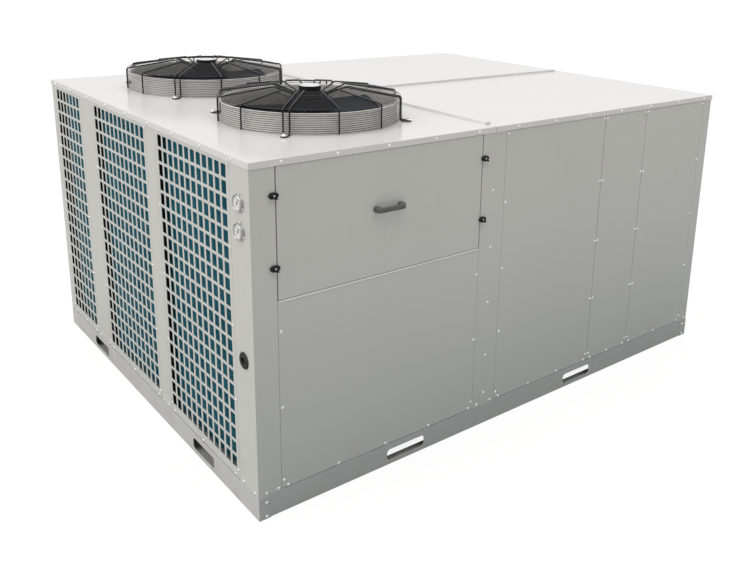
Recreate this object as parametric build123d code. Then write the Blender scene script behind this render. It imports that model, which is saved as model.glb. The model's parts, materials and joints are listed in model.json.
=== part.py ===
from build123d import *
from math import cos, radians, sin
import os

# A packaged rooftop air conditioner whose refrigerant circuit is driven by a scroll compressor.
# +X runs along the long service face, +Y across the cabinet, +Z up. The origin is the middle of the
# footprint, on the plane that the base rails stand on. The service face looks along -Y and the
# finned condenser coil looks along -X. Every size is in millimetres.

# Cabinet, measured over its wall panels
LENGTH = 2760.0
WIDTH = 2200.0
HEIGHT = 1400.0
SHEET = 2.0
SEAM = 3.0
TRAY_DEPTH = 25.0
LIP = 18.0
FIT = 0.3
RUNNING_FIT = 0.05

# Base frame
RAIL_HEIGHT = 98.0
RAIL_SHEET = 3.0
RAIL_FLANGE = 50.0
RAIL_GAP = 1.0
SLOT_LENGTH = 200.0
SLOT_HEIGHT = 52.0
SLOT_CORNER = 16.0
SLOT_LEVEL = 44.0
LONG_SLOTS = (704.0, 1807.0)
END_SLOT_OFFSET = 618.0
JOIST_COUNT = 5
JOIST_WIDTH = 60.0
JOIST_DEPTH = 18.0
JOIST_INSET = 330.0

# Roof
RIM_HEIGHT = 24.0
RIM_GAP = 1.0
RIB_HEIGHT = 12.0
RIB_WIDTH = 30.0
RIB_START = 50.0

# Division of the service face, from the coil end
FRONT_LEG = 99.0
DOOR_WIDTH = 985.0
POST_WIDTH = 134.0
WIDE_PANEL = 659.0
NARROW_PANEL = 320.0
END_LEG = 70.0
DOOR_BOTTOM = 876.0
DOOR_GAP = 5.0
STRAP_WIDTH = 56.0

# Division of the coil face, from the service face
COIL_LEG = 145.0
GUARD_COLUMNS = 12
COIL_POST_NARROW = 102.0
COIL_POST_WIDE = 180.0
REAR_LEG = 53.0

# Coil guard
OPENING_WIDTH = 38.0
OPENING_HEIGHT = 49.5
OPENING_PITCH_Y = 52.0
OPENING_PITCH_Z = 61.6
GUARD_MARGIN = 25.0
GUARD_BOTTOM_MARGIN = 32.0
GUARD_TOP_MARGIN = 14.0

# Rear and supply faces
BACK_LEG = 80.0
SUPPLY_PANEL = 840.0
SUPPLY_OPENING = (600.0, 500.0)
SUPPLY_LEVEL = 760.0
RETURN_OPENING = (280.0, 900.0)
RETURN_LEVEL = 700.0
DUCT_BOLT_MARGIN = 30.0
DUCT_BOLT_RADIUS = 4.5

# Condenser fans
FAN_INSET = 608.0
FAN_SPACING = 1016.0
NOZZLE_RADIUS = 372.0
NOZZLE_RISE = 85.0
NOZZLE_DROP = 58.0
NOZZLE_FLANGE = 9.0
BASKET_RADIUS = 390.0
BASKET_SHOULDER = 100.0
BASKET_CREST = 138.0
BASKET_CREST_RADIUS = 158.0
HUB_RING_RADIUS = 79.0
HUB_RING_RISE = 103.0
FOOT_RADIUS = 431.0
LEG_ANGLES = (45, 135, 225, 315)
ROD_ANGLES = (15, 75, 105, 165, 195, 255, 285, 345)
ROD_SIZE = 7.0
LEG_PAIR_GAP = 26.0
SIDE_RINGS = 6
TOP_RINGS = 8
RING_SIZE = 4.0
FOOT_BOLT_RADIUS = 7.0
BLADE_COUNT = 5
BLADE_TIP_RADIUS = 350.0
BLADE_TIP_CHORD = 170.0
BLADE_ROOT_CHORD = 112.0
BLADE_SHEET = 4.0
BLADE_ROOT_PITCH = 38.0
BLADE_TIP_PITCH = 20.0
ROTOR_RADIUS = 100.0
ROTOR_BORE = 64.0
FAN_STATOR_RADIUS = 60.0
FAN_SHAFT_RADIUS = 12.0
MOTOR_CAP_RADIUS = 48.0

# Door furniture
LATCH_LENGTH = 40.0
LATCH_WIDTH = 24.0
LATCH_THICKNESS = 9.0
LATCH_FIN = 14.0
LATCH_FIN_WIDTH = 5.0
LATCH_LIFT = 1.0
LATCH_OVERLAP = 12.0
LATCH_SPINDLE = 5.0
LATCH_REACH = 10.0
LATCH_UPPER = 1272.0
LATCH_LOWER = 1004.0
HANDLE_LENGTH = 140.0
HANDLE_HEIGHT = 20.0
HANDLE_REACH = 34.0
HANDLE_BAR = 12.0
HANDLE_FOOT = 22.0
HANDLE_LEVEL = 1146.0

# Pressure gauges and cable entry on the corner post
GAUGE_INSET = 74.0
GAUGE_LEVELS = (1243.0, 1139.0)
GAUGE_FLANGE_RADIUS = 35.0
GAUGE_RADIUS = 31.0
GAUGE_WALL = 3.0
GAUGE_RISE = 13.0
GAUGE_DEPTH = 26.0
GAUGE_BACK_RADIUS = 27.0
GAUGE_PIN = 1.2
PIN_RISE = 2.6
DIAL_RECESS = 5.0
DIAL_SHEET = 0.8
GLASS_RECESS = 0.8
GLASS_SHEET = 1.2
POINTER_RISE = 1.2
POINTER_SHEET = 0.8
POINTER_ROOT = 1.4
POINTER_TIP = 0.3
POINTER_LENGTH = 21.0
POINTER_TAIL = 7.0
POINTER_ANGLE = 28.0
GROMMET_INSET = 76.0
GROMMET_LEVEL = 641.0
GROMMET_RADIUS = 33.0
GROMMET_NECK = 24.0
GROMMET_BORE = 14.0
GROMMET_RISE = 8.0

# Screws
SCREW_RADIUS = 7.0
SCREW_RISE = 4.5
SCREW_EDGE = 12.0
SCREW_FOOT = 9.0
SCREW_ROWS = 5
SCREW_PANEL_INSETS = (29.0, 24.0)
SCREW_FIRST_RISE = 36.0
LOW_PANEL_SCREW_DROP = 110.0
LOW_PANEL_SCREW_ROWS = 3
POST_SCREW_LEVELS = (158.0, 348.0, 606.0, 865.0, 1123.0)
LEG_SCREWS = (35.0, 86.0)
POST_FOOT_INSETS = (28.0, 24.0)
END_LEG_SCREW = 25.0
GUARD_SCREW_INSET = 40.0
GUARD_FOOT_SCREWS = 3
COIL_POST_SCREW_INSET = 26.0
RIM_SCREW_LEVEL = 12.0
RIM_SCREW_PITCH = 234.0
RIM_SCREW_INSETS = (124.0, 74.0)
RAIL_SCREW_INSET = 32.0
RAIL_SCREW_LEVELS = (11.0, 71.0)

# Condenser coil
COIL_INSET = 34.0
COIL_THICKNESS = 40.0
COIL_START = 130.0
COIL_END = 115.0
COIL_FOOT = 38.0
COIL_PLATE = 3.0
BEND_COUNT = 12
BEND_TUBE = 5.0
BEND_RADIUS = 14.0
HEADER_RADIUS = 11.0
HEADER_SETBACK = 16.0

# Control box behind the access door
BOX_OVERLAP = 6.0
BOX_CLEARANCE = 12.0
CONTACTOR_SIZE = (70.0, 70.0, 95.0)
CONTACTOR_COUNT = 6
CONTACTOR_PITCH = 120.0

# Scroll compressor
COMPRESSOR_INSET = 520.0
COMPRESSOR_DEPTH = 400.0
MOUNT_HEIGHT = 25.0
MOUNT_RADIUS = 20.0
MOUNT_SPACING = 230.0
FOOT_PLATE = 290.0
FOOT_SHEET = 6.0
SHELL_RADIUS = 115.0
SHELL_WALL = 4.0
BOTTOM_CAP_HEIGHT = 32.0
SHELL_HEIGHT = 400.0
TOP_CAP_HEIGHT = 62.0
TOP_CAP_CORNER = 43.0
BEARING_LEVEL = 18.0
BEARING_HEIGHT = 16.0
STATOR_LEVEL = 75.0
STATOR_HEIGHT = 130.0
STATOR_BORE = 62.0
WINDING_RADII = (70.0, 98.0)
WINDING_HEIGHT = 20.0
AIR_GAP = 0.6
SHAFT_RADIUS = 18.0
MAIN_FRAME_LEVEL = 255.0
MAIN_FRAME_BASE = 22.0
MAIN_FRAME_WALL = 62.0
PIN_RADIUS = 12.0
BOSS_RADIUS = 18.0
BOSS_HEIGHT = 20.0
THRUST_RADII = (56.0, 78.0)
ORBIT_PLATE_RADIUS = 92.0
ORBIT_PLATE = 8.0
WRAP_STEP = 13.0
WRAP_WALL = 5.0
WRAP_GAP = 0.3
WRAP_START = 9.0
WRAP_TURNS = 6
WRAP_HEIGHT = 30.0
FIXED_PLATE = 16.0
DISCHARGE_PORT = 6.0
OLDHAM_RADII = (82.0, 97.0)
OLDHAM_HEIGHT = 8.0
OLDHAM_KEY = 10.0
TERMINAL_BOX = (60.0, 80.0, 90.0)

# Copper pipes
SUCTION_RADIUS = 17.0
DISCHARGE_RADIUS = 11.0
LIQUID_RADIUS = 8.0
PIPE_BEND = 60.0
PIPE_END_BEND = 26.0
PIPE_WALL_GAP = 6.0
PIPE_HOLE_GAP = 2.0
SUCTION_RISE = 165.0
LIQUID_LEVEL = 190.0

# Indoor section
FILTER_INSET = 1560.0
FILTER_THICKNESS = 48.0
FILTER_COUNT = 3
EVAPORATOR_INSET = 1660.0
EVAPORATOR_THICKNESS = 110.0
SECTION_SIDE = 90.0
SECTION_TOP = 60.0
FAN_WALL_INSET = 1900.0
INLET_RADIUS = 230.0
INLET_LENGTH = 30.0
WHEEL_RADIUS = 300.0
WHEEL_WIDTH = 190.0
WHEEL_SHEET = 4.0
WHEEL_BLADES = 7
WHEEL_BLADE_LENGTH = 198.0
WHEEL_BLADE_MIDDLE = 234.0
WHEEL_BLADE_LEAN = 52.0
WHEEL_LEVEL = 700.0
MOTOR_RADIUS = 105.0
MOTOR_LENGTH = 220.0
MOTOR_STAND = 200.0
MOTOR_SHAFT = 19.0
SHAFT_ENGAGEMENT = 70.0

# Planes and levels that several pieces share
LEFT = -LENGTH / 2
RIGHT = LENGTH / 2
FRONT = -WIDTH / 2
BACK = WIDTH / 2
FLOOR = RAIL_HEIGHT + SHEET
ROOF_UNDERSIDE = HEIGHT - SHEET
RIM_EDGE = HEIGHT - RIM_HEIGHT
PANEL_BOTTOM = FLOOR + SHEET
PANEL_TOP = RIM_EDGE - SHEET
INNER_DEPTH = TRAY_DEPTH + SHEET
DOOR_END = FRONT_LEG + DOOR_WIDTH
POST_END = DOOR_END + POST_WIDTH
WIDE_END = POST_END + WIDE_PANEL
NARROW_END = WIDE_END + NARROW_PANEL
ROOF_JOINT = LEFT + DOOR_END + POST_WIDTH / 2
GUARD_WIDTH = (GUARD_COLUMNS - 1) * OPENING_PITCH_Y + OPENING_WIDTH + 2 * GUARD_MARGIN
GUARD_STARTS = (
    COIL_LEG,
    COIL_LEG + GUARD_WIDTH + COIL_POST_NARROW,
    COIL_LEG + 2 * GUARD_WIDTH + COIL_POST_NARROW + COIL_POST_WIDE,
)
GUARD_ENDS = (GUARD_STARTS[0] + GUARD_WIDTH, GUARD_STARTS[1] + GUARD_WIDTH, WIDTH - REAR_LEG)
FAN_X = LEFT + FAN_INSET
FAN_YS = (-FAN_SPACING / 2, FAN_SPACING / 2)
ORBIT_RADIUS = WRAP_STEP - WRAP_WALL - WRAP_GAP

WALLS = {
    "front": Pos(0, FRONT, 0),
    "back": Pos(0, BACK, 0) * Rot(0, 0, 180),
    "left": Pos(LEFT, 0, 0) * Rot(0, 0, -90),
    "right": Pos(RIGHT, 0, 0) * Rot(0, 0, 90),
}
HALF_RUN = {"front": LENGTH / 2, "back": LENGTH / 2, "left": WIDTH / 2, "right": WIDTH / 2}


def save(name, pieces):
    """Write the closed solids of one node to its STEP file."""
    solids = [solid for piece in pieces for solid in piece.solids()]
    export_step(Compound(solids), f"parts/{name}.step")


def block(x0, x1, y0, y1, z0, z1):
    """A box between two opposite corners."""
    centre = Pos((x0 + x1) / 2, (y0 + y1) / 2, (z0 + z1) / 2)
    return centre * Box(abs(x1 - x0), abs(y1 - y0), abs(z1 - z0))


def disc(radius, z0, z1, bore=0.0):
    """An upright round plate or tube on the Z axis."""
    plate = Pos(0, 0, (z0 + z1) / 2) * Cylinder(radius, z1 - z0)
    if bore:
        plate -= Pos(0, 0, (z0 + z1) / 2) * Cylinder(bore, 2 * (z1 - z0))
    return plate


def joined(pieces):
    """Fuse touching pieces into one."""
    first, *rest = pieces
    return first + rest if rest else first


def along(wall, distance):
    """Place on a wall's run, from the coil end or the service face, as the wall's own coordinate."""
    forward = wall in ("front", "right")
    return distance - HALF_RUN[wall] if forward else HALF_RUN[wall] - distance


def run(wall, start, end):
    """A stretch of a wall, given from the coil end or the service face, lowest value first."""
    return sorted((along(wall, start), along(wall, end)))


def tray(wall, start, end, bottom, top):
    """A wall panel: a flat sheet whose four edges are folded inwards."""
    low, high = run(wall, start, end)
    low += SEAM / 2
    high -= SEAM / 2
    shell = block(low, high, 0, TRAY_DEPTH, bottom, top)
    hollow = block(low + SHEET, high - SHEET, SHEET, 2 * TRAY_DEPTH, bottom + SHEET, top - SHEET)
    return shell - hollow


def opening_cut(wall, middle, level, size):
    """The tool that cuts a rectangular opening, with a bolt hole outside each corner."""
    centre = along(wall, middle)
    width, height = size
    cut = block(centre - width / 2, centre + width / 2, -SHEET, TRAY_DEPTH / 2,
                level - height / 2, level + height / 2)
    hole = Rot(90, 0, 0) * Cylinder(DUCT_BOLT_RADIUS, TRAY_DEPTH)
    corners = [
        Pos(centre + side * (width / 2 + DUCT_BOLT_MARGIN), 0, level + up * (height / 2 + DUCT_BOLT_MARGIN))
        for side in (-1, 1)
        for up in (-1, 1)
    ]
    return [cut] + [corner * hole for corner in corners]


# Base frame


def slot_cut(centre):
    """The tool that cuts one fork slot through a rail's web."""
    profile = Pos(centre, 0, SLOT_LEVEL) * Rot(90, 0, 0) * RectangleRounded(SLOT_LENGTH, SLOT_HEIGHT, SLOT_CORNER)
    return extrude(profile, RAIL_FLANGE / 2, both=True)


def long_rails():
    """The two long C-shaped rails, with two fork slots each."""
    rails = []
    for wall in ("front", "back"):
        low, high = run(wall, RAIL_SHEET, LENGTH - RAIL_SHEET)
        channel = block(low, high, 0, RAIL_FLANGE, 0, RAIL_HEIGHT)
        channel -= block(low, high, RAIL_SHEET, RAIL_FLANGE + SHEET, RAIL_SHEET, RAIL_HEIGHT - RAIL_SHEET)
        channel -= [slot_cut(along(wall, slot)) for slot in LONG_SLOTS]
        rails.append(WALLS[wall] * channel)
    return rails


def end_rails():
    """The two end rails, whose ends wrap round the long rails."""
    rails = []
    for wall in ("left", "right"):
        half = WIDTH / 2
        web = block(-half - RAIL_SHEET, half + RAIL_SHEET, 0, RAIL_SHEET, 0, RAIL_HEIGHT)
        web -= [slot_cut(offset) for offset in (-END_SLOT_OFFSET, END_SLOT_OFFSET)]
        pieces = [web]
        clear = half - RAIL_FLANGE - RAIL_GAP
        for bottom in (0, RAIL_HEIGHT - RAIL_SHEET):
            pieces.append(block(-clear, clear, 0, RAIL_FLANGE, bottom, bottom + RAIL_SHEET))
        for side in (-1, 1):
            pieces.append(block(side * half, side * (half + RAIL_SHEET), 0, RAIL_FLANGE, 0, RAIL_HEIGHT))
        rails.append(WALLS[wall] * joined(pieces))
    return rails


def base_pan():
    """The floor sheet on top of the rails."""
    return [block(LEFT, RIGHT, FRONT, BACK, RAIL_HEIGHT, FLOOR)]


def floor_joists():
    """Shallow channels that stiffen the floor above the fork pockets."""
    reach = WIDTH / 2 - RAIL_FLANGE - RAIL_GAP
    step = (LENGTH - 2 * JOIST_INSET) / (JOIST_COUNT - 1)
    joists = []
    for index in range(JOIST_COUNT):
        middle = LEFT + JOIST_INSET + index * step
        half = JOIST_WIDTH / 2
        bottom = RAIL_HEIGHT - JOIST_DEPTH
        joist = block(middle - half, middle + half, -reach, reach, bottom, RAIL_HEIGHT)
        clear = half - SHEET
        joist -= block(middle - clear, middle + clear, -reach, reach, bottom - SHEET, RAIL_HEIGHT - SHEET)
        joists.append(joist)
    return joists


# Posts and top frame


def corner_post(side_x, side_y, leg_x, leg_y):
    """A folded corner post, with a return and a lip at the end of each leg."""
    corner_x = side_x * LENGTH / 2
    corner_y = side_y * WIDTH / 2

    def bar(x0, x1, y0, y1):
        return block(corner_x - side_x * x0, corner_x - side_x * x1, corner_y - side_y * y0,
                     corner_y - side_y * y1, FLOOR, ROOF_UNDERSIDE)

    return joined([
        bar(0, leg_x, 0, SHEET),
        bar(0, SHEET, 0, leg_y),
        bar(leg_x - SHEET, leg_x, 0, INNER_DEPTH),
        bar(0, INNER_DEPTH, leg_y - SHEET, leg_y),
        bar(leg_x - SHEET, leg_x + LIP, TRAY_DEPTH, INNER_DEPTH),
        bar(TRAY_DEPTH, INNER_DEPTH, leg_y - SHEET, leg_y + LIP),
    ])


def wall_hole(wall, distance, level, radius):
    """The tool that drills a round hole through a wall's sheet."""
    return WALLS[wall] * Pos(along(wall, distance), 0, level) * Rot(90, 0, 0) * Cylinder(radius, 2 * TRAY_DEPTH / 3)


def latch_pivots():
    """Run along the service face and level of each turn-button's pivot, by latch name."""
    reach = LATCH_LENGTH / 2 - LATCH_OVERLAP
    left = FRONT_LEG - reach
    right = DOOR_END + reach
    return {
        "latch_upper_left": (left, LATCH_UPPER),
        "latch_lower_left": (left, LATCH_LOWER),
        "latch_upper_right": (right, LATCH_UPPER),
        "latch_lower_right": (right, LATCH_LOWER),
    }


def corner_posts():
    """The four corner posts; the service corner carries the gauges, the cable entry and two latches."""
    service = corner_post(-1, -1, FRONT_LEG, COIL_LEG)
    service -= [wall_hole("left", GAUGE_INSET, level, GAUGE_BACK_RADIUS + FIT) for level in GAUGE_LEVELS]
    service -= wall_hole("left", GROMMET_INSET, GROMMET_LEVEL, GROMMET_NECK + FIT)
    service -= [
        wall_hole("front", distance, level, LATCH_SPINDLE + RUNNING_FIT)
        for name, (distance, level) in latch_pivots().items()
        if name.endswith("left")
    ]
    return [
        service,
        corner_post(1, -1, END_LEG, BACK_LEG),
        corner_post(-1, 1, BACK_LEG, REAR_LEG),
        corner_post(1, 1, END_LEG, BACK_LEG),
    ]


def hat_post(wall, start, end):
    """A visible post between two panels, with a lip behind each of them."""
    low, high = run(wall, start, end)

    def bar(u0, u1, v0, v1):
        return block(u0, u1, v0, v1, FLOOR, RIM_EDGE)

    return WALLS[wall] * joined([
        bar(low, high, 0, SHEET),
        bar(low, low + SHEET, 0, INNER_DEPTH),
        bar(high - SHEET, high, 0, INNER_DEPTH),
        bar(low - LIP, low + SHEET, TRAY_DEPTH, INNER_DEPTH),
        bar(high - SHEET, high + LIP, TRAY_DEPTH, INNER_DEPTH),
    ])


def seam_strap(wall, seam):
    """A hidden strap behind the seam where two panels meet."""
    low, high = run(wall, seam - STRAP_WIDTH / 2, seam + STRAP_WIDTH / 2)
    return WALLS[wall] * block(low, high, TRAY_DEPTH, INNER_DEPTH, FLOOR, RIM_EDGE)


def supply_seams():
    """The two seams beside the supply panel, from the service face."""
    return ((WIDTH - SUPPLY_PANEL) / 2, (WIDTH + SUPPLY_PANEL) / 2)


def middle_posts():
    """Posts and straps between the corner posts, and the bar behind the door's lower edge."""
    front_post = hat_post("front", DOOR_END, POST_END)
    front_post -= [
        wall_hole("front", distance, level, LATCH_SPINDLE + RUNNING_FIT)
        for name, (distance, level) in latch_pivots().items()
        if name.endswith("right")
    ]
    posts = [front_post, hat_post("back", DOOR_END, POST_END)]
    posts.append(hat_post("left", GUARD_ENDS[0], GUARD_STARTS[1]))
    posts.append(hat_post("left", GUARD_ENDS[1], GUARD_STARTS[2]))
    posts += [seam_strap(wall, seam) for wall in ("front", "back") for seam in (WIDE_END, NARROW_END)]
    posts += [seam_strap("right", seam) for seam in supply_seams()]
    low, high = run("front", FRONT_LEG + LIP, DOOR_END - LIP)
    half = STRAP_WIDTH / 2
    crossbar = block(low, high, TRAY_DEPTH, INNER_DEPTH, DOOR_BOTTOM - half, DOOR_BOTTOM + half)
    posts.append(WALLS["front"] * crossbar)
    return posts


def top_frame():
    """Angles under the roof's edge, between the corner posts."""
    legs = {
        "front": (FRONT_LEG, END_LEG),
        "back": (BACK_LEG, END_LEG),
        "left": (COIL_LEG, REAR_LEG),
        "right": (BACK_LEG, BACK_LEG),
    }
    angles = []
    for wall, (start, end) in legs.items():
        low, high = run(wall, start, 2 * HALF_RUN[wall] - end)
        face = block(low, high, 0, SHEET, RIM_EDGE, ROOF_UNDERSIDE)
        shelf = block(low, high, 0, TRAY_DEPTH, RIM_EDGE, RIM_EDGE + SHEET)
        angles.append(WALLS[wall] * joined([face, shelf]))
    return angles


# Wall panels


def front_panel(start, end, bottom=PANEL_BOTTOM, top=PANEL_TOP):
    """One panel of the service face."""
    return WALLS["front"] * tray("front", start, end, bottom, top)


def closing_panels():
    """Plain panels of the rear and supply faces."""
    spans = [
        ("back", BACK_LEG, DOOR_END),
        ("back", WIDE_END, NARROW_END),
        ("back", NARROW_END, LENGTH - END_LEG),
        ("right", BACK_LEG, supply_seams()[0]),
        ("right", supply_seams()[1], WIDTH - BACK_LEG),
    ]
    return [WALLS[wall] * tray(wall, start, end, PANEL_BOTTOM, PANEL_TOP) for wall, start, end in spans]


def return_middle():
    """Middle of the return air opening along the rear face."""
    return POST_END + RETURN_OPENING[0] / 2 + 2 * DUCT_BOLT_MARGIN


def return_panel():
    """The rear panel with the return air opening."""
    panel = tray("back", POST_END, WIDE_END, PANEL_BOTTOM, PANEL_TOP)
    return [WALLS["back"] * (panel - opening_cut("back", return_middle(), RETURN_LEVEL, RETURN_OPENING))]


def supply_panel():
    """The end panel with the supply air opening."""
    start, end = supply_seams()
    panel = tray("right", start, end, PANEL_BOTTOM, PANEL_TOP)
    return [WALLS["right"] * (panel - opening_cut("right", WIDTH / 2, SUPPLY_LEVEL, SUPPLY_OPENING))]


def coil_guard(start, end):
    """A punched guard panel: as many openings as fit between its margins."""
    web_y = OPENING_PITCH_Y - OPENING_WIDTH
    web_z = OPENING_PITCH_Z - OPENING_HEIGHT
    columns = int((end - start - 2 * GUARD_MARGIN + web_y + FIT) / OPENING_PITCH_Y)
    clear_height = PANEL_TOP - PANEL_BOTTOM - GUARD_BOTTOM_MARGIN - GUARD_TOP_MARGIN
    rows = int((clear_height + web_z + FIT) / OPENING_PITCH_Z)
    first_z = PANEL_TOP - GUARD_TOP_MARGIN - (rows - 1) * OPENING_PITCH_Z - OPENING_HEIGHT / 2
    middle = (along("left", start) + along("left", end)) / 2
    centre_z = first_z + (rows - 1) * OPENING_PITCH_Z / 2
    grid = GridLocations(OPENING_PITCH_Y, OPENING_PITCH_Z, columns, rows)
    face = Plane(origin=(middle, 0, centre_z), x_dir=(1, 0, 0), z_dir=(0, -1, 0))
    openings = Sketch() + [place * Rectangle(OPENING_WIDTH, OPENING_HEIGHT) for place in grid]
    cut = extrude(face * openings, 2 * SHEET, both=True)
    return WALLS["left"] * (tray("left", start, end, PANEL_BOTTOM, PANEL_TOP) - cut)


def coil_guards():
    """The three punched panels in front of the condenser coil."""
    return [coil_guard(start, end) for start, end in zip(GUARD_STARTS, GUARD_ENDS)]


def access_door():
    """The lift-off door over the control box, held by the turn-buttons."""
    play = DOOR_GAP - SEAM / 2
    return [front_panel(FRONT_LEG + play, DOOR_END - play, bottom=DOOR_BOTTOM + SEAM / 2)]


# Roof


def roof_sheet(x0, x1, y0, y1, rims):
    """A roof sheet with a turned-down rim on the sides that are named."""
    over = RIM_GAP + SHEET
    low_x = x0 - (over if "left" in rims else 0)
    high_x = x1 + (over if "right" in rims else 0)
    low_y = y0 - (over if "front" in rims else 0)
    high_y = y1 + (over if "back" in rims else 0)
    pieces = [block(low_x, high_x, low_y, high_y, ROOF_UNDERSIDE, HEIGHT)]
    strips = {
        "left": (low_x, low_x + SHEET, low_y, high_y),
        "right": (high_x - SHEET, high_x, low_y, high_y),
        "front": (low_x, high_x, low_y, low_y + SHEET),
        "back": (low_x, high_x, high_y - SHEET, high_y),
    }
    pieces += [block(*strips[side], RIM_EDGE, HEIGHT) for side in rims]
    return joined(pieces)


def fan_deck():
    """The roof sheet over the outdoor section, with a round hole for each fan."""
    deck = roof_sheet(LEFT, ROOF_JOINT - SEAM / 2, FRONT, BACK, ("left", "front", "back"))
    hole = Cylinder(NOZZLE_RADIUS + SHEET + FIT, 4 * SHEET)
    return [deck - [Pos(FAN_X, y, HEIGHT) * hole for y in FAN_YS]]


def roof_sheets():
    """The two roof sheets over the indoor section."""
    start = ROOF_JOINT + SEAM / 2
    return [
        roof_sheet(start, RIGHT, FRONT, -SEAM / 2, ("right", "front")),
        roof_sheet(start, RIGHT, SEAM / 2, BACK, ("right", "back")),
    ]


def rib(x0, x1, y0, y1):
    """A capping strip with folded edges that covers a roof joint."""
    cap = block(x0, x1, y0, y1, HEIGHT, HEIGHT + RIB_HEIGHT)
    return cap - block(x0 + SHEET, x1 - SHEET, y0 + SHEET, y1 - SHEET, HEIGHT - SHEET, HEIGHT + RIB_HEIGHT - SHEET)


def roof_ribs():
    """The capping strips over the two roof joints."""
    half = RIB_WIDTH / 2
    cross = rib(ROOF_JOINT - half, ROOF_JOINT + half, FRONT + RIB_START, BACK - RIB_START)
    lengthwise = rib(ROOF_JOINT + half + FIT, RIGHT - RIB_START, -half, half)
    return [cross, lengthwise]


# Condenser fans


def at_fans(piece):
    """One copy of a piece for each fan, from a piece on the Z axis at roof level."""
    return [Pos(FAN_X, y, HEIGHT) * piece for y in FAN_YS]


def fan_nozzles():
    """The wall rings that the fans turn in, each with a flange on the roof."""
    outer = NOZZLE_RADIUS + SHEET
    tube = disc(outer, -NOZZLE_DROP, NOZZLE_RISE, NOZZLE_RADIUS)
    flange = disc(outer + NOZZLE_FLANGE, 0, SHEET, NOZZLE_RADIUS)
    return at_fans(joined([tube, flange]))


def guard_bar(points, offset, angle):
    """A bar of the guard that follows radius and height points on one side of the axis."""
    profile = trace(Polyline(*points), ROD_SIZE)
    bar = extrude(Plane.XZ.offset(-offset) * profile, ROD_SIZE / 2, both=True)
    return Rot(0, 0, angle) * bar


def guard_ring(radius, level):
    """A flat ring of the guard."""
    half = RING_SIZE / 2
    return disc(radius + half, level - half, level + half, radius - half)


def crest_level(radius):
    """Height above the roof of the guard's top surface at a radius."""
    if radius < BASKET_CREST_RADIUS:
        share = (radius - HUB_RING_RADIUS) / (BASKET_CREST_RADIUS - HUB_RING_RADIUS)
        return HUB_RING_RISE + share * (BASKET_CREST - HUB_RING_RISE)
    share = (radius - BASKET_CREST_RADIUS) / (BASKET_RADIUS - BASKET_CREST_RADIUS)
    return BASKET_CREST + share * (BASKET_SHOULDER - BASKET_CREST)


def fan_guard():
    """The finger guard: rings, single rods and four double legs that stand on the roof."""
    half = ROD_SIZE / 2
    crown = [
        (HUB_RING_RADIUS - half, HUB_RING_RISE),
        (BASKET_CREST_RADIUS, BASKET_CREST),
        (BASKET_RADIUS, BASKET_SHOULDER),
    ]
    side = [(BASKET_RADIUS, half + RING_SIZE)]
    foot = [(BASKET_RADIUS, half), (FOOT_RADIUS + 3 * half, half)]
    bars = [guard_bar(crown + side, 0, angle) for angle in ROD_ANGLES]
    for angle in LEG_ANGLES:
        for shift in (-LEG_PAIR_GAP / 2, LEG_PAIR_GAP / 2):
            bars.append(guard_bar(crown + foot, shift, angle))
        tie = block(FOOT_RADIUS - ROD_SIZE, FOOT_RADIUS + 3 * half, -LEG_PAIR_GAP / 2, LEG_PAIR_GAP / 2, 0, half)
        bars.append(Rot(0, 0, angle) * tie)
    rings = [
        guard_ring(BASKET_RADIUS, ROD_SIZE + index * (BASKET_SHOULDER - ROD_SIZE) / (SIDE_RINGS - 1))
        for index in range(SIDE_RINGS)
    ]
    for index in range(TOP_RINGS):
        radius = BASKET_CREST_RADIUS + index * (BASKET_RADIUS - BASKET_CREST_RADIUS) / TOP_RINGS
        rings.append(guard_ring(radius, crest_level(radius)))
    hub = disc(HUB_RING_RADIUS + half, HUB_RING_RISE - half, HUB_RING_RISE + half, MOTOR_CAP_RADIUS)
    return joined([hub] + bars + rings)


def guard_bolts():
    """The bolt and washer on each foot of the guards."""
    washer = disc(2 * FOOT_BOLT_RADIUS, 0, SHEET)
    head = Pos(0, 0, SHEET) * extrude(RegularPolygon(FOOT_BOLT_RADIUS, 6), FOOT_BOLT_RADIUS)
    bolt = Pos(FOOT_RADIUS, 0, ROD_SIZE) * joined([washer, head])
    return [place for angle in LEG_ANGLES for place in at_fans(Rot(0, 0, angle) * bolt)]


def fan_motors():
    """Stationary cores of the external rotor motors, hung from the guards' hub rings."""
    top = HUB_RING_RISE - ROD_SIZE / 2
    flange = disc(HUB_RING_RADIUS, top - ROD_SIZE, top)
    cap = disc(MOTOR_CAP_RADIUS - FIT, top - ROD_SIZE, BASKET_CREST)
    core = disc(FAN_STATOR_RADIUS, fan_core_level(), top)
    shaft = disc(FAN_SHAFT_RADIUS, rotor_floor() + SHEET, fan_core_level() + SHEET)
    return at_fans(joined([flange, cap, core, shaft]))


def rotor_floor():
    """Level of the underside of the fan's rotor cup."""
    return -NOZZLE_DROP / 2


def fan_core_level():
    """Level of the underside of the fan motor's core, above the rotor cup's floor."""
    return rotor_floor() + ROTOR_BORE - FAN_STATOR_RADIUS + 2 * FAN_SHAFT_RADIUS


def fan_blade():
    """A swept blade between the rotor cup and the tip, along +X."""
    root_radius = ROTOR_RADIUS - BLADE_SHEET
    ends = (
        (root_radius, BLADE_ROOT_PITCH, BLADE_ROOT_CHORD),
        (BLADE_TIP_RADIUS, BLADE_TIP_PITCH, BLADE_TIP_CHORD),
    )
    faces = []
    for radius, pitch, chord in ends:
        chord_line = (0, cos(radians(pitch)), sin(radians(pitch)))
        section = Plane(origin=(radius, 0, 0), x_dir=chord_line, z_dir=(1, 0, 0)) * Rectangle(chord, BLADE_SHEET)
        faces.append(section.face())
    return loft(faces)


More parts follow.
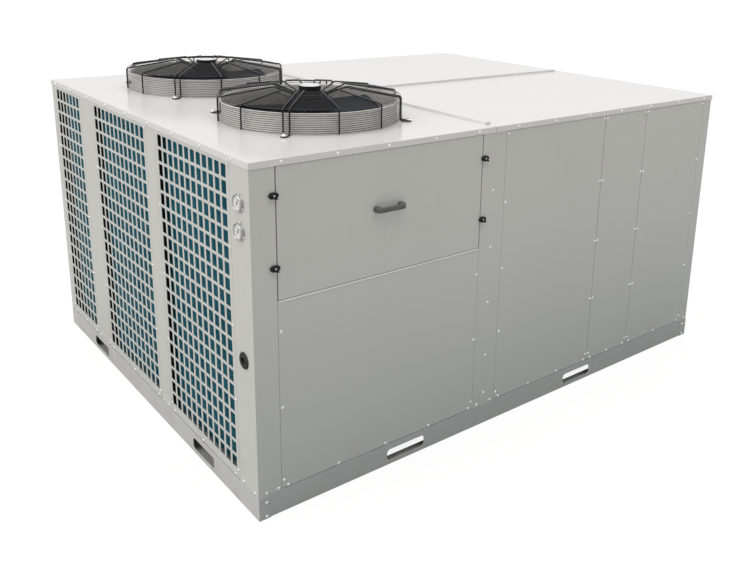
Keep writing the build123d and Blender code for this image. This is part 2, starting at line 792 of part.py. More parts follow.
def fan_impeller(y):
    """Rotor cup of an external rotor motor, with its blades."""
    floor = rotor_floor()
    rim = HUB_RING_RISE - 3 * ROD_SIZE
    cup = disc(ROTOR_RADIUS, floor, rim)
    cup -= disc(ROTOR_BORE, fan_core_level() - 2 * SHEET, 2 * rim)
    cup -= Cylinder(FAN_SHAFT_RADIUS + RUNNING_FIT, 4 * NOZZLE_DROP)
    middle = (floor + rim) / 2
    step = 360 / BLADE_COUNT
    blades = [Rot(0, 0, index * step) * Pos(0, 0, middle) * fan_blade() for index in range(BLADE_COUNT)]
    blades = [blade - disc(ROTOR_RADIUS - BLADE_SHEET / 2, 2 * floor, 2 * rim) for blade in blades]
    return [Pos(FAN_X, y, HEIGHT) * joined([cup] + blades)]


# Door furniture, gauges and cable entry


def on_front(distance, level):
    """A frame on the service face: X along it, Y into the cabinet, Z up."""
    return WALLS["front"] * Pos(along("front", distance), 0, level)


def latch(distance, level):
    """A turn-button: washer, oval paddle with a thumb fin, and a spindle through the post."""
    outward = Rot(90, 0, 0)
    washer = outward * disc(LATCH_WIDTH / 2 - SHEET, 0, LATCH_LIFT)
    paddle = outward * Pos(0, 0, LATCH_LIFT) * extrude(SlotOverall(LATCH_LENGTH, LATCH_WIDTH), LATCH_THICKNESS)
    top = LATCH_LIFT + LATCH_THICKNESS
    reach = LATCH_LENGTH / 2 - LATCH_FIN_WIDTH
    half = LATCH_FIN_WIDTH / 2
    fin = block(-reach, reach, -top - LATCH_FIN, -top, -half, half)
    tail = block(reach - half, reach + half, -top - LATCH_FIN, -top, -LATCH_FIN_WIDTH, LATCH_FIN_WIDTH)
    spindle = outward * disc(LATCH_SPINDLE, -LATCH_REACH, LATCH_LIFT)
    return [on_front(distance, level) * joined([washer, paddle, fin, tail, spindle])]


def door_handle():
    """A moulded bridge handle in the middle of the door."""
    half = HANDLE_LENGTH / 2
    half_height = HANDLE_HEIGHT / 2
    bar = block(-half, half, -HANDLE_REACH, HANDLE_BAR - HANDLE_REACH, -half_height, half_height)
    bar = chamfer(bar.edges().filter_by(Axis.X).group_by(Axis.Y)[0], HANDLE_BAR / 3)
    feet = [
        block(side * half, side * (half - HANDLE_FOOT), -HANDLE_REACH + HANDLE_BAR / 2, 0,
              -half_height + SHEET, half_height - SHEET)
        for side in (-1, 1)
    ]
    return [on_front(FRONT_LEG + DOOR_WIDTH / 2, HANDLE_LEVEL) * joined([bar] + feet)]


def on_coil_face(distance, level):
    """A frame on the coil face whose Z axis points out of the cabinet and whose Y axis points up."""
    return WALLS["left"] * Pos(along("left", distance), 0, level) * Rot(90, 0, 0)


def at_gauges(piece):
    """One copy of a piece for each gauge."""
    return [on_coil_face(GAUGE_INSET, level) * piece for level in GAUGE_LEVELS]


def gauge_floor():
    """Level of the gauge's dial seat above the cabinet face."""
    return GAUGE_RISE - DIAL_RECESS


def gauge_cases():
    """Round gauge cases with a mounting flange, a bezel wall and a pin for the pointer."""
    floor = gauge_floor()
    case = disc(GAUGE_RADIUS, 0, floor)
    bezel = disc(GAUGE_RADIUS, floor, GAUGE_RISE, GAUGE_RADIUS - GAUGE_WALL)
    flange = disc(GAUGE_FLANGE_RADIUS, 0, SHEET)
    back = disc(GAUGE_BACK_RADIUS, -GAUGE_DEPTH, 0)
    pin = disc(GAUGE_PIN, floor, floor + PIN_RISE)
    return at_gauges(joined([case, bezel, flange, back, pin]))


def gauge_dials():
    """White dial plates."""
    floor = gauge_floor()
    return at_gauges(disc(GAUGE_RADIUS - GAUGE_WALL - FIT, floor, floor + DIAL_SHEET, GAUGE_PIN + FIT))


def gauge_glasses():
    """Clear windows of the gauges."""
    top = GAUGE_RISE - GLASS_RECESS
    return at_gauges(disc(GAUGE_RADIUS - GAUGE_WALL - FIT, top - GLASS_SHEET, top))


def gauge_pointer(level):
    """A tapered pointer that turns on the gauge's pin."""
    bottom = gauge_floor() + POINTER_RISE
    hub = disc(3 * GAUGE_PIN, bottom, bottom + POINTER_SHEET)
    corners = [
        (-POINTER_ROOT, -POINTER_TAIL),
        (POINTER_ROOT, -POINTER_TAIL),
        (POINTER_TIP, POINTER_LENGTH),
        (-POINTER_TIP, POINTER_LENGTH),
    ]
    outline = make_face(Polyline(*corners, close=True))
    blade = Pos(0, 0, bottom) * extrude(outline, POINTER_SHEET)
    pointer = joined([hub, blade]) - Cylinder(GAUGE_PIN + RUNNING_FIT, 4 * GAUGE_RISE)
    return [on_coil_face(GAUGE_INSET, level) * Rot(0, 0, -POINTER_ANGLE) * pointer]


def cable_grommet():
    """The rubber bush of the cable entry."""
    neck = GROMMET_NECK
    collar = disc(GROMMET_RADIUS, 0, GROMMET_RISE)
    collar = fillet(collar.edges().sort_by(Axis.Z)[-1], GROMMET_RISE / 2)
    body = joined([
        collar,
        disc(neck, -SHEET, 0),
        disc(GROMMET_RADIUS - SHEET, -SHEET - GROMMET_RISE / 2, -SHEET),
    ])
    return [on_coil_face(GROMMET_INSET, GROMMET_LEVEL) * (body - Cylinder(GROMMET_BORE, 4 * GROMMET_RISE))]


# Screws


def screw_head():
    """A domed screw head on the XY plane, rising along +Z."""
    sphere_radius = (SCREW_RADIUS ** 2 + SCREW_RISE ** 2) / (2 * SCREW_RISE)
    ball = Pos(0, 0, SCREW_RISE - sphere_radius) * Sphere(sphere_radius)
    return ball & Pos(0, 0, SCREW_RISE) * Box(4 * SCREW_RADIUS, 4 * SCREW_RADIUS, 2 * SCREW_RISE)


def spread(start, end, count):
    """Evenly spaced places from start to end."""
    return [start + index * (end - start) / (count - 1) for index in range(count)]


def panel_screw_places(start, end, bottom, top, columns, rows):
    """Screws along the foot of a panel and up both of its edges."""
    before, after = SCREW_PANEL_INSETS
    places = [(distance, FLOOR + SCREW_FOOT) for distance in spread(start + before, end - after, columns)]
    levels = spread(bottom + SCREW_FIRST_RISE, top - SCREW_EDGE, rows)
    places += [(edge, level) for edge in (start + SCREW_EDGE, end - SCREW_EDGE + SEAM) for level in levels]
    return places


def front_screws():
    """Screw places on the service face, from the coil end."""
    low_top = DOOR_BOTTOM - LOW_PANEL_SCREW_DROP
    places = panel_screw_places(FRONT_LEG, DOOR_END, FLOOR, low_top, 5, LOW_PANEL_SCREW_ROWS)
    places += panel_screw_places(POST_END, WIDE_END, FLOOR, PANEL_TOP, 4, SCREW_ROWS)
    places += panel_screw_places(WIDE_END, NARROW_END, FLOOR, PANEL_TOP, 3, SCREW_ROWS)
    places += panel_screw_places(NARROW_END, LENGTH - END_LEG, FLOOR, PANEL_TOP, 3, SCREW_ROWS)
    post = (DOOR_END + POST_END) / 2
    places += [(post, level) for level in POST_SCREW_LEVELS]
    before, after = POST_FOOT_INSETS
    feet = (*LEG_SCREWS, DOOR_END + before, POST_END - after, LENGTH - END_LEG_SCREW)
    places += [(distance, FLOOR + SCREW_FOOT) for distance in feet]
    return places


def coil_face_screws():
    """Screw places on the coil face, from the service face."""
    places = []
    for start, end in zip(GUARD_STARTS, GUARD_ENDS):
        levels = spread(PANEL_BOTTOM + SCREW_FIRST_RISE, PANEL_TOP - SCREW_EDGE, SCREW_ROWS)
        places += [(edge, level) for edge in (start + SCREW_EDGE, end - SCREW_EDGE) for level in levels]
        feet = spread(start + GUARD_SCREW_INSET, end - GUARD_SCREW_INSET, GUARD_FOOT_SCREWS)
        places += [(distance, FLOOR + SCREW_FOOT) for distance in feet]
    for start, end in ((0, COIL_LEG), (GUARD_ENDS[0], GUARD_STARTS[1]), (GUARD_ENDS[1], GUARD_STARTS[2])):
        feet = (start + COIL_POST_SCREW_INSET, end - COIL_POST_SCREW_INSET)
        places += [(distance, FLOOR + SCREW_FOOT) for distance in feet]
    return places


def back_screws():
    """Screw places on the rear face, from the coil end."""
    places = panel_screw_places(BACK_LEG, DOOR_END, FLOOR, PANEL_TOP, 5, SCREW_ROWS)
    places += panel_screw_places(POST_END, WIDE_END, FLOOR, PANEL_TOP, 4, SCREW_ROWS)
    places += panel_screw_places(WIDE_END, NARROW_END, FLOOR, PANEL_TOP, 3, SCREW_ROWS)
    places += panel_screw_places(NARROW_END, LENGTH - END_LEG, FLOOR, PANEL_TOP, 3, SCREW_ROWS)
    return places


def end_screws():
    """Screw places on the supply face, from the service face."""
    first, second = supply_seams()
    places = panel_screw_places(BACK_LEG, first, FLOOR, PANEL_TOP, 4, SCREW_ROWS)
    places += panel_screw_places(first, second, FLOOR, PANEL_TOP, 4, SCREW_ROWS)
    places += panel_screw_places(second, WIDTH - BACK_LEG, FLOOR, PANEL_TOP, 4, SCREW_ROWS)
    return places


def rim_places(wall):
    """Screw places along the roof's rim, clear of the roof joints."""
    length = 2 * HALF_RUN[wall]
    count = round(length / RIM_SCREW_PITCH)
    joints = {"front": ROOF_JOINT - LEFT, "back": ROOF_JOINT - LEFT, "right": WIDTH / 2}
    before, after = RIM_SCREW_INSETS
    places = spread(before, length - after, count)
    joint = joints.get(wall)
    return [place for place in places if joint is None or abs(place - joint) > 2 * SCREW_EDGE]


def screw_places():
    """Every screw head's location, its Z axis pointing out of the cabinet."""
    faces = {"front": front_screws(), "left": coil_face_screws(), "back": back_screws(), "right": end_screws()}
    out = Rot(90, 0, 0)
    locations = [
        WALLS[wall] * Pos(along(wall, distance), 0, level) * out
        for wall, places in faces.items()
        for distance, level in places
    ]
    over = RIM_GAP + SHEET
    locations += [
        WALLS[wall] * Pos(along(wall, distance), -over, HEIGHT - RIM_SCREW_LEVEL) * out
        for wall in faces
        for distance in rim_places(wall)
    ]
    locations += [
        WALLS[wall] * Pos(along(wall, distance), -RAIL_SHEET, level) * out
        for wall in ("front", "back")
        for distance in (RAIL_SCREW_INSET, LENGTH - RAIL_SCREW_INSET)
        for level in RAIL_SCREW_LEVELS
    ]
    return locations


def panel_screws():
    """All the domed screw heads of the cabinet."""
    head = screw_head()
    return [place * head for place in screw_places()]


# Condenser coil


def condenser_coil():
    """Finned block with its two end plates and the channel that it stands on."""
    x0 = LEFT + COIL_INSET
    x1 = x0 + COIL_THICKNESS
    y0 = FRONT + COIL_START
    y1 = BACK - COIL_END
    top = ROOF_UNDERSIDE - 2 * COIL_PLATE
    foot = FLOOR + COIL_FOOT
    fins = block(x0, x1, y0 + COIL_PLATE, y1 - COIL_PLATE, foot, top)
    plates = [block(x0, x1, y, y + COIL_PLATE, FLOOR, top) for y in (y0, y1 - COIL_PLATE)]
    channel = block(x0, x1, y0 + COIL_PLATE, y1 - COIL_PLATE, FLOOR, foot)
    channel -= block(x0 + SHEET, x1 - SHEET, y0, y1, FLOOR - SHEET, foot - SHEET)
    return [fins, channel] + plates


def coil_pipework():
    """Return bends at the far end of the coil and the two headers at its near end."""
    middle = LEFT + COIL_INSET + COIL_THICKNESS / 2
    far = BACK - COIL_END
    low = FLOOR + 3 * COIL_FOOT
    high = ROOF_UNDERSIDE - 3 * COIL_FOOT
    bends = [Pos(middle, far, level) * bend_shape() for level in spread(low, high, BEND_COUNT)]
    near = FRONT + COIL_START - HEADER_SETBACK
    split = (low + high) / 2
    headers = []
    for start, end in ((low, split - COIL_FOOT), (split + COIL_FOOT, high)):
        header = Pos(middle, near, 0) * disc(HEADER_RADIUS, start, end)
        for level in spread(start + COIL_FOOT, end - COIL_FOOT, BEND_COUNT // 2):
            tube = Pos(middle, near + HEADER_SETBACK / 2, level) * Rot(90, 0, 0)
            header += tube * Cylinder(BEND_TUBE, HEADER_SETBACK)
        headers.append(header)
    return bends + headers


def bend_shape():
    """A return bend: half a ring of tube that stands out along +Y from two holes, one above the other."""
    ring = Torus(BEND_RADIUS, BEND_TUBE)
    upright = Rot(0, 90, 0) * ring
    reach = 2 * (BEND_RADIUS + BEND_TUBE)
    return upright & Pos(0, reach / 2, 0) * Box(reach, reach, reach)


# Control box


def control_depth():
    """Depth of the control box, up to a clearance in front of the first fan's nozzle."""
    nozzle_front = WIDTH / 2 - FAN_SPACING / 2 - NOZZLE_RADIUS - SHEET - NOZZLE_FLANGE
    return nozzle_front - BOX_CLEARANCE - INNER_DEPTH


def control_box():
    """The open steel box behind the access door, carried on the posts' lips."""
    low, high = run("front", FRONT_LEG + BOX_OVERLAP, DOOR_END - BOX_OVERLAP)
    bottom = DOOR_BOTTOM + STRAP_WIDTH / 2
    top = PANEL_TOP - STRAP_WIDTH / 4
    outer = block(low, high, INNER_DEPTH, INNER_DEPTH + control_depth(), bottom, top)
    hollow = block(low + SHEET, high - SHEET, 0, INNER_DEPTH + control_depth() - SHEET, bottom + SHEET, top - SHEET)
    return [WALLS["front"] * (outer - hollow)]


def contactors():
    """Contactors and relays in a row on a rail, on the box's rear wall."""
    wide, deep, high = CONTACTOR_SIZE
    rear = INNER_DEPTH + control_depth() - SHEET
    level = (DOOR_BOTTOM + PANEL_TOP) / 2
    middle = along("front", FRONT_LEG + DOOR_WIDTH / 2)
    span = CONTACTOR_COUNT * CONTACTOR_PITCH / 2
    rail = block(middle - span, middle + span, rear - LATCH_FIN_WIDTH, rear, level - wide / 4, level + wide / 4)
    pieces = [rail]
    front = rear - LATCH_FIN_WIDTH
    for index in range(CONTACTOR_COUNT):
        centre = middle - span + CONTACTOR_PITCH * (index + 0.5)
        case = block(centre - wide / 2, centre + wide / 2, front - deep, front, level - high / 2, level + high / 2)
        nose = block(centre - wide / 3, centre + wide / 3, front - deep - SHEET, front - deep, level - high / 4,
                     level + high / 4)
        pieces.append(case + nose)
    return [WALLS["front"] * piece for piece in pieces]


# Scroll compressor, built on the Z axis with its bottom cap's underside at zero


def compressor_base_level():
    """Level of the underside of the compressor's bottom cap."""
    return FLOOR + MOUNT_HEIGHT + FOOT_SHEET


def in_compressor(piece):
    """Place a piece of the compressor in the cabinet."""
    return Pos(LEFT + COMPRESSOR_INSET, FRONT + COMPRESSOR_DEPTH, compressor_base_level()) * piece


def mount_places():
    """The four corners where the compressor stands on rubber."""
    return GridLocations(MOUNT_SPACING, MOUNT_SPACING, 2, 2)


def compressor_base():
    """The square foot plate, with a hole over each rubber mount."""
    plate = extrude(RectangleRounded(FOOT_PLATE, FOOT_PLATE, MOUNT_RADIUS), FOOT_SHEET)
    plate -= [place * Cylinder(MOUNT_RADIUS / 4, 4 * FOOT_SHEET) for place in mount_places()]
    return [in_compressor(Pos(0, 0, -FOOT_SHEET) * plate)]


def rubber_mounts():
    """Grommets between the foot plate and the floor."""
    mount = disc(MOUNT_RADIUS, -FOOT_SHEET - MOUNT_HEIGHT, -FOOT_SHEET, MOUNT_RADIUS / 4)
    return [in_compressor(place * mount) for place in mount_places()]


def bottom_cap():
    """The dished lower end of the compressor's shell."""
    cap = disc(SHELL_RADIUS, 0, BOTTOM_CAP_HEIGHT)
    cap = fillet(cap.edges().sort_by(Axis.Z)[0], BOTTOM_CAP_HEIGHT / 2)
    return [in_compressor(cap - disc(SHELL_RADIUS - SHELL_WALL, BOTTOM_CAP_HEIGHT / 2, 2 * BOTTOM_CAP_HEIGHT))]


def suction_level():
    """Height of the suction pipe's axis above the bottom cap."""
    return BOTTOM_CAP_HEIGHT + SUCTION_RISE


def compressor_shell():
    """The cylindrical shell, with a hole for the suction pipe."""
    shell = disc(SHELL_RADIUS, BOTTOM_CAP_HEIGHT, BOTTOM_CAP_HEIGHT + SHELL_HEIGHT, SHELL_RADIUS - SHELL_WALL)
    hole = Pos(SHELL_RADIUS, 0, suction_level()) * Rot(0, 90, 0) * Cylinder(SUCTION_RADIUS + FIT, 4 * SHELL_WALL)
    return [in_compressor(shell - hole)]


def top_cap():
    """The domed upper end, with a hole for the discharge pipe."""
    base = BOTTOM_CAP_HEIGHT + SHELL_HEIGHT
    cap = disc(SHELL_RADIUS, base, base + TOP_CAP_HEIGHT)
    cap = fillet(cap.edges().sort_by(Axis.Z)[-1], TOP_CAP_CORNER)
    core = disc(SHELL_RADIUS - SHELL_WALL, base, base + TOP_CAP_HEIGHT - SHELL_WALL)
    core = fillet(core.edges().sort_by(Axis.Z)[-1], TOP_CAP_CORNER - SHELL_WALL)
    cap -= core
    cap -= Pos(0, 0, base + TOP_CAP_HEIGHT) * Cylinder(DISCHARGE_RADIUS + FIT, 4 * SHELL_WALL)
    return [in_compressor(cap)]


def terminal_box():
    """The box over the compressor's electrical terminals."""
    wide, deep, high = TERMINAL_BOX
    level = BOTTOM_CAP_HEIGHT + SHELL_HEIGHT / 2
    box = block(-wide / 2, wide / 2, -SHELL_RADIUS - deep / 2, -SHELL_RADIUS + deep / 2, level - high / 2,
                level + high / 2)
    return [in_compressor(box - Cylinder(SHELL_RADIUS + FIT, 4 * SHELL_HEIGHT))]


def fitted_radius():
    """Outer radius of what is held inside the shell."""
    return SHELL_RADIUS - SHELL_WALL - FIT


def lower_bearing():
    """The spider that holds the crankshaft's lower end."""
    base = BOTTOM_CAP_HEIGHT + BEARING_LEVEL
    hub = disc(2 * SHAFT_RADIUS, base - BEARING_LEVEL / 2, base + BEARING_HEIGHT)
    rim = disc(fitted_radius(), base, base + BEARING_HEIGHT, fitted_radius() - 2 * SHELL_WALL)
    arm = block(SHAFT_RADIUS, fitted_radius() - SHELL_WALL, -SHAFT_RADIUS / 2, SHAFT_RADIUS / 2, base,
                base + BEARING_HEIGHT)
    spider = joined([hub, rim] + [Rot(0, 0, angle) * arm for angle in (60, 180, 300)])
    return [in_compressor(spider - Cylinder(SHAFT_RADIUS + RUNNING_FIT, 4 * SHELL_HEIGHT))]


def stator():
    """The laminated core of the compressor's motor and its two end windings."""
    base = BOTTOM_CAP_HEIGHT + STATOR_LEVEL
    core = disc(fitted_radius(), base, base + STATOR_HEIGHT, STATOR_BORE)
    inner, outer = WINDING_RADII
    levels = (base - WINDING_HEIGHT, base + STATOR_HEIGHT)
    windings = [disc(outer, level, level + WINDING_HEIGHT, inner) for level in levels]
    return [in_compressor(piece) for piece in [core] + windings]


def rotor():
    """The rotor on the crankshaft."""
    base = BOTTOM_CAP_HEIGHT + STATOR_LEVEL
    return [in_compressor(disc(STATOR_BORE - AIR_GAP, base, base + STATOR_HEIGHT, SHAFT_RADIUS))]


def frame_level():
    """Underside of the main frame above the bottom cap."""
    return BOTTOM_CAP_HEIGHT + MAIN_FRAME_LEVEL


def plate_level():
    """Underside of the orbiting scroll's plate."""
    return frame_level() + MAIN_FRAME_BASE + BOSS_HEIGHT + SHEET


def main_frame():
    """The upper bearing, with a thrust ring under the orbiting scroll and a wall round it."""
    base = frame_level()
    floor = base + MAIN_FRAME_BASE
    inner, outer = THRUST_RADII
    wall = fitted_radius()
    frame = joined([
        disc(wall, base, floor),
        disc(wall, base, base + MAIN_FRAME_WALL, wall - 2 * SHELL_WALL),
        disc(outer, floor, plate_level(), inner),
    ])
    return [in_compressor(frame - Cylinder(SHAFT_RADIUS + RUNNING_FIT, 4 * SHELL_HEIGHT))]


def crankshaft():
    """The shaft with the offset pin that drives the orbiting scroll."""
    bottom = BOTTOM_CAP_HEIGHT + BEARING_LEVEL
    shoulder = frame_level() + MAIN_FRAME_BASE
    shaft = disc(SHAFT_RADIUS, bottom, shoulder)
    pin = Pos(ORBIT_RADIUS, 0, 0) * disc(PIN_RADIUS, shoulder, shoulder + BOSS_HEIGHT)
    collar = disc(SHAFT_RADIUS + PIN_RADIUS / 2, shoulder - MAIN_FRAME_BASE - SHEET - PIN_RADIUS,
                  shoulder - MAIN_FRAME_BASE - SHEET)
    return [in_compressor(joined([shaft, pin, collar]))]


def scroll_wrap(height):
    """A scroll wall: half turns about two alternating centres, each a step wider than the last.

    Its inner end is cut back, so that the two walls' ends pass each other.
    """
    shift = WRAP_STEP / 2
    trim = ORBIT_RADIUS / 2 + WRAP_GAP
    pieces = []
    for index in range(WRAP_TURNS):
        inner = WRAP_START + index * WRAP_STEP
        side = -1 if index % 2 else 1
        ring = Circle(inner + WRAP_WALL) - Circle(inner)
        reach = 4 * (inner + WRAP_WALL)
        half = ring & Pos(0, side * reach / 2) * Rectangle(reach, reach)
        if index == 0:
            half -= Pos(reach / 2, 0) * Rectangle(reach, 2 * trim)
        pieces.append(Pos(-side * shift, 0) * half)
    return extrude(joined(pieces), height)


def orbiting_scroll():
    """The scroll that the crank pin carries round."""
    base = plate_level()
    plate = disc(ORBIT_PLATE_RADIUS, base, base + ORBIT_PLATE)
    boss = disc(BOSS_RADIUS, base - BOSS_HEIGHT, base)
    wrap = Pos(0, 0, base + ORBIT_PLATE) * Rot(0, 0, 180) * scroll_wrap(WRAP_HEIGHT)
    scroll = joined([plate, boss, wrap]) - disc(PIN_RADIUS + RUNNING_FIT, base - 2 * BOSS_HEIGHT, base + SHEET / 2)
    return [in_compressor(Pos(ORBIT_RADIUS, 0, 0) * scroll)]


def fixed_scroll():
    """The scroll on the main frame, with the discharge port in its middle."""
    wrap_base = plate_level() + ORBIT_PLATE + WRAP_GAP
    plate_base = wrap_base + WRAP_HEIGHT
    wall = fitted_radius()
    seat = frame_level() + MAIN_FRAME_WALL
    scroll = joined([
        disc(wall, plate_base, plate_base + FIXED_PLATE),
        disc(wall, seat, plate_base, wall - 2 * SHELL_WALL),
        Pos(0, 0, wrap_base) * scroll_wrap(WRAP_HEIGHT),
    ])
    return [in_compressor(scroll - Cylinder(DISCHARGE_PORT, 8 * SHELL_HEIGHT))]


def oldham_ring():
    """The keyed ring that stops the orbiting scroll from turning."""
    floor = frame_level() + MAIN_FRAME_BASE
    inner, outer = OLDHAM_RADII
    ring = disc(outer, floor, floor + OLDHAM_HEIGHT, inner)
    half = OLDHAM_KEY / 2
    key = block(inner, outer, -half, half, floor, plate_level() - FIT)
    keys = [Rot(0, 0, angle) * key for angle in (0, 90, 180, 270)]
    return [in_compressor(joined([ring] + keys))]


# Pipes and the wall between the two sections


def pipe(points, radius, bends):
    """A round pipe along straight runs with bends."""
    path = FilletPolyline(*points, radius=bends)
    section = Plane(origin=path @ 0, z_dir=path % 0) * Circle(radius)
    return sweep(section, path)


def pipe_routes():
    """Suction, discharge and liquid pipes: the corners, the radius and the bend at each inner corner."""
    x = LEFT + COMPRESSOR_INSET
    y = FRONT + COMPRESSOR_DEPTH
    base = compressor_base_level()
    coil_x = LEFT + COIL_INSET + COIL_THICKNESS / 2
    near = FRONT + COIL_START - HEADER_SETBACK
    shell_top = base + BOTTOM_CAP_HEIGHT + SHELL_HEIGHT + TOP_CAP_HEIGHT
    suction_z = base + suction_level()
    side = FRONT + INNER_DEPTH + SUCTION_RADIUS + PIPE_WALL_GAP
    turn = x + SHELL_RADIUS + 2 * PIPE_BEND
    plate = FRONT + SECTION_SIDE
    joint = LEFT + EVAPORATOR_INSET + EVAPORATOR_THICKNESS / 2
    crossover = coil_x + 2 * PIPE_BEND
    discharge_z = shell_top + 2 * PIPE_BEND
    low = FLOOR + LIQUID_LEVEL
    suction = [
        (x + SHELL_RADIUS - SHELL_WALL, y, suction_z),
        (turn, y, suction_z),
        (turn, side, suction_z),
        (joint, side, suction_z),
        (joint, plate, suction_z),
    ]
    discharge = [
        (x, y, shell_top - SHELL_WALL),
        (x, y, discharge_z),
        (crossover, y, discharge_z),
        (crossover, near, discharge_z),
        (coil_x + HEADER_RADIUS, near, discharge_z),
    ]
    liquid = [
        (coil_x + HEADER_RADIUS, near, low),
        (crossover, near, low),
        (crossover, side, low),
        (joint, side, low),
        (joint, plate, low),
    ]
    return [
        (suction, SUCTION_RADIUS, (PIPE_BEND, PIPE_BEND, PIPE_END_BEND)),
        (discharge, DISCHARGE_RADIUS, (PIPE_BEND, PIPE_BEND, PIPE_BEND)),
        (liquid, LIQUID_RADIUS, (PIPE_END_BEND, PIPE_END_BEND, PIPE_END_BEND)),
    ]


def copper_pipes():
    """Suction, discharge and liquid pipes."""
    return [pipe(points, radius, bends) for points, radius, bends in pipe_routes()]


def partition(x, top_flange):
    """A sheet across the cabinet, inside the wall panels, with an optional flange under the roof."""
    reach = WIDTH / 2 - INNER_DEPTH - SHEET
    sheet = block(x - SHEET / 2, x + SHEET / 2, -reach, reach, FLOOR, ROOF_UNDERSIDE)
    if top_flange:
        half = RIB_WIDTH / 2
        sheet += block(x - half, x + half, -reach, reach, ROOF_UNDERSIDE - SHEET, ROOF_UNDERSIDE)
    return sheet


def bulkhead():
    """The wall between the outdoor and indoor sections, with holes for the pipes that cross it."""
    wall = partition(ROOF_JOINT, True)
    for points, radius, bends in pipe_routes():
        end = points[-2]
        if end[0] > ROOF_JOINT:
            wall -= Pos(ROOF_JOINT, end[1], end[2]) * Rot(0, 90, 0) * Cylinder(radius + PIPE_HOLE_GAP, 8 * SHEET)
    return [wall]


# Indoor section


def filters():
    """Filter panels side by side."""
    reach = WIDTH / 2 - SECTION_SIDE
    width = 2 * reach / FILTER_COUNT
    x0 = LEFT + FILTER_INSET
    return [
        block(x0, x0 + FILTER_THICKNESS, -reach + index * width + FIT, -reach + (index + 1) * width - FIT, FLOOR,
              ROOF_UNDERSIDE - SECTION_TOP)
        for index in range(FILTER_COUNT)
    ]


def evaporator_coil():
    """The finned block of the indoor coil between its end plates."""
    reach = WIDTH / 2 - SECTION_SIDE
    x0 = LEFT + EVAPORATOR_INSET
    x1 = x0 + EVAPORATOR_THICKNESS
    top = ROOF_UNDERSIDE - SECTION_TOP
    block_side = reach - COIL_PLATE
    fins = block(x0, x1, -block_side, block_side, FLOOR + COIL_FOOT, top)
    plates = [block(x0, x1, side * block_side, side * reach, FLOOR, top) for side in (-1, 1)]
    return [fins] + plates


def on_wheel_axis(x, piece):
    """Turn a piece from the Z axis onto the blower's axis, from a distance along the cabinet."""
    return Pos(LEFT + x, 0, WHEEL_LEVEL) * Rot(0, 90, 0) * piece


def blower_inlet():
    """The wall that carries the blower, with its inlet ring."""
    wall = partition(LEFT + FAN_WALL_INSET, False)
    wall -= on_wheel_axis(FAN_WALL_INSET, Cylinder(INLET_RADIUS, 8 * SHEET))
    ring = on_wheel_axis(FAN_WALL_INSET, disc(INLET_RADIUS + SHEET, 0, INLET_LENGTH, INLET_RADIUS))
    return [wall + ring]


def wheel_start():
    """Distance from the coil end to the front of the blower wheel."""
    return FAN_WALL_INSET + INLET_LENGTH + SHEET


def blower_wheel():
    """A wheel with backward-leaning blades, on the motor's shaft."""
    shroud = disc(WHEEL_RADIUS, 0, WHEEL_SHEET, INLET_RADIUS + 4 * SHEET)
    back = disc(WHEEL_RADIUS, WHEEL_WIDTH - WHEEL_SHEET, WHEEL_WIDTH)
    hub = disc(2 * MOTOR_SHAFT, WHEEL_WIDTH - 3 * MOTOR_SHAFT, WHEEL_WIDTH)
    shaft = disc(MOTOR_SHAFT, WHEEL_WIDTH - MOTOR_SHAFT, WHEEL_WIDTH + WHEEL_SHEET + SHAFT_ENGAGEMENT)
    half = WHEEL_BLADE_LENGTH / 2
    blade = block(-WHEEL_SHEET / 2, WHEEL_SHEET / 2, -half, half, 0, WHEEL_WIDTH)
    blade = Pos(WHEEL_BLADE_MIDDLE, 0, 0) * Rot(0, 0, WHEEL_BLADE_LEAN) * blade
    step = 360 / WHEEL_BLADES
    blades = [Rot(0, 0, index * step) * blade for index in range(WHEEL_BLADES)]
    blades = [piece & disc(WHEEL_RADIUS, 0, WHEEL_WIDTH) for piece in blades]
    return [on_wheel_axis(wheel_start(), joined([back, shroud, hub, shaft] + blades))]


def blower_motor():
    """The blower's motor on its stand."""
    start = wheel_start() + WHEEL_WIDTH + WHEEL_SHEET
    body = on_wheel_axis(start, disc(MOTOR_RADIUS, 0, MOTOR_LENGTH))
    stand = block(LEFT + start + WHEEL_SHEET, LEFT + start + MOTOR_LENGTH - WHEEL_SHEET, -MOTOR_STAND / 2,
                  MOTOR_STAND / 2, FLOOR, WHEEL_LEVEL - MOTOR_RADIUS / 2)
    stand -= block(LEFT + start, LEFT + start + MOTOR_LENGTH, -MOTOR_STAND / 2 + WHEEL_SHEET,
                   MOTOR_STAND / 2 - WHEEL_SHEET, FLOOR, WHEEL_LEVEL - MOTOR_RADIUS)
    bore = on_wheel_axis(start, disc(MOTOR_SHAFT + RUNNING_FIT, -WHEEL_SHEET, SHAFT_ENGAGEMENT + WHEEL_SHEET))
    return [body + stand - bore]


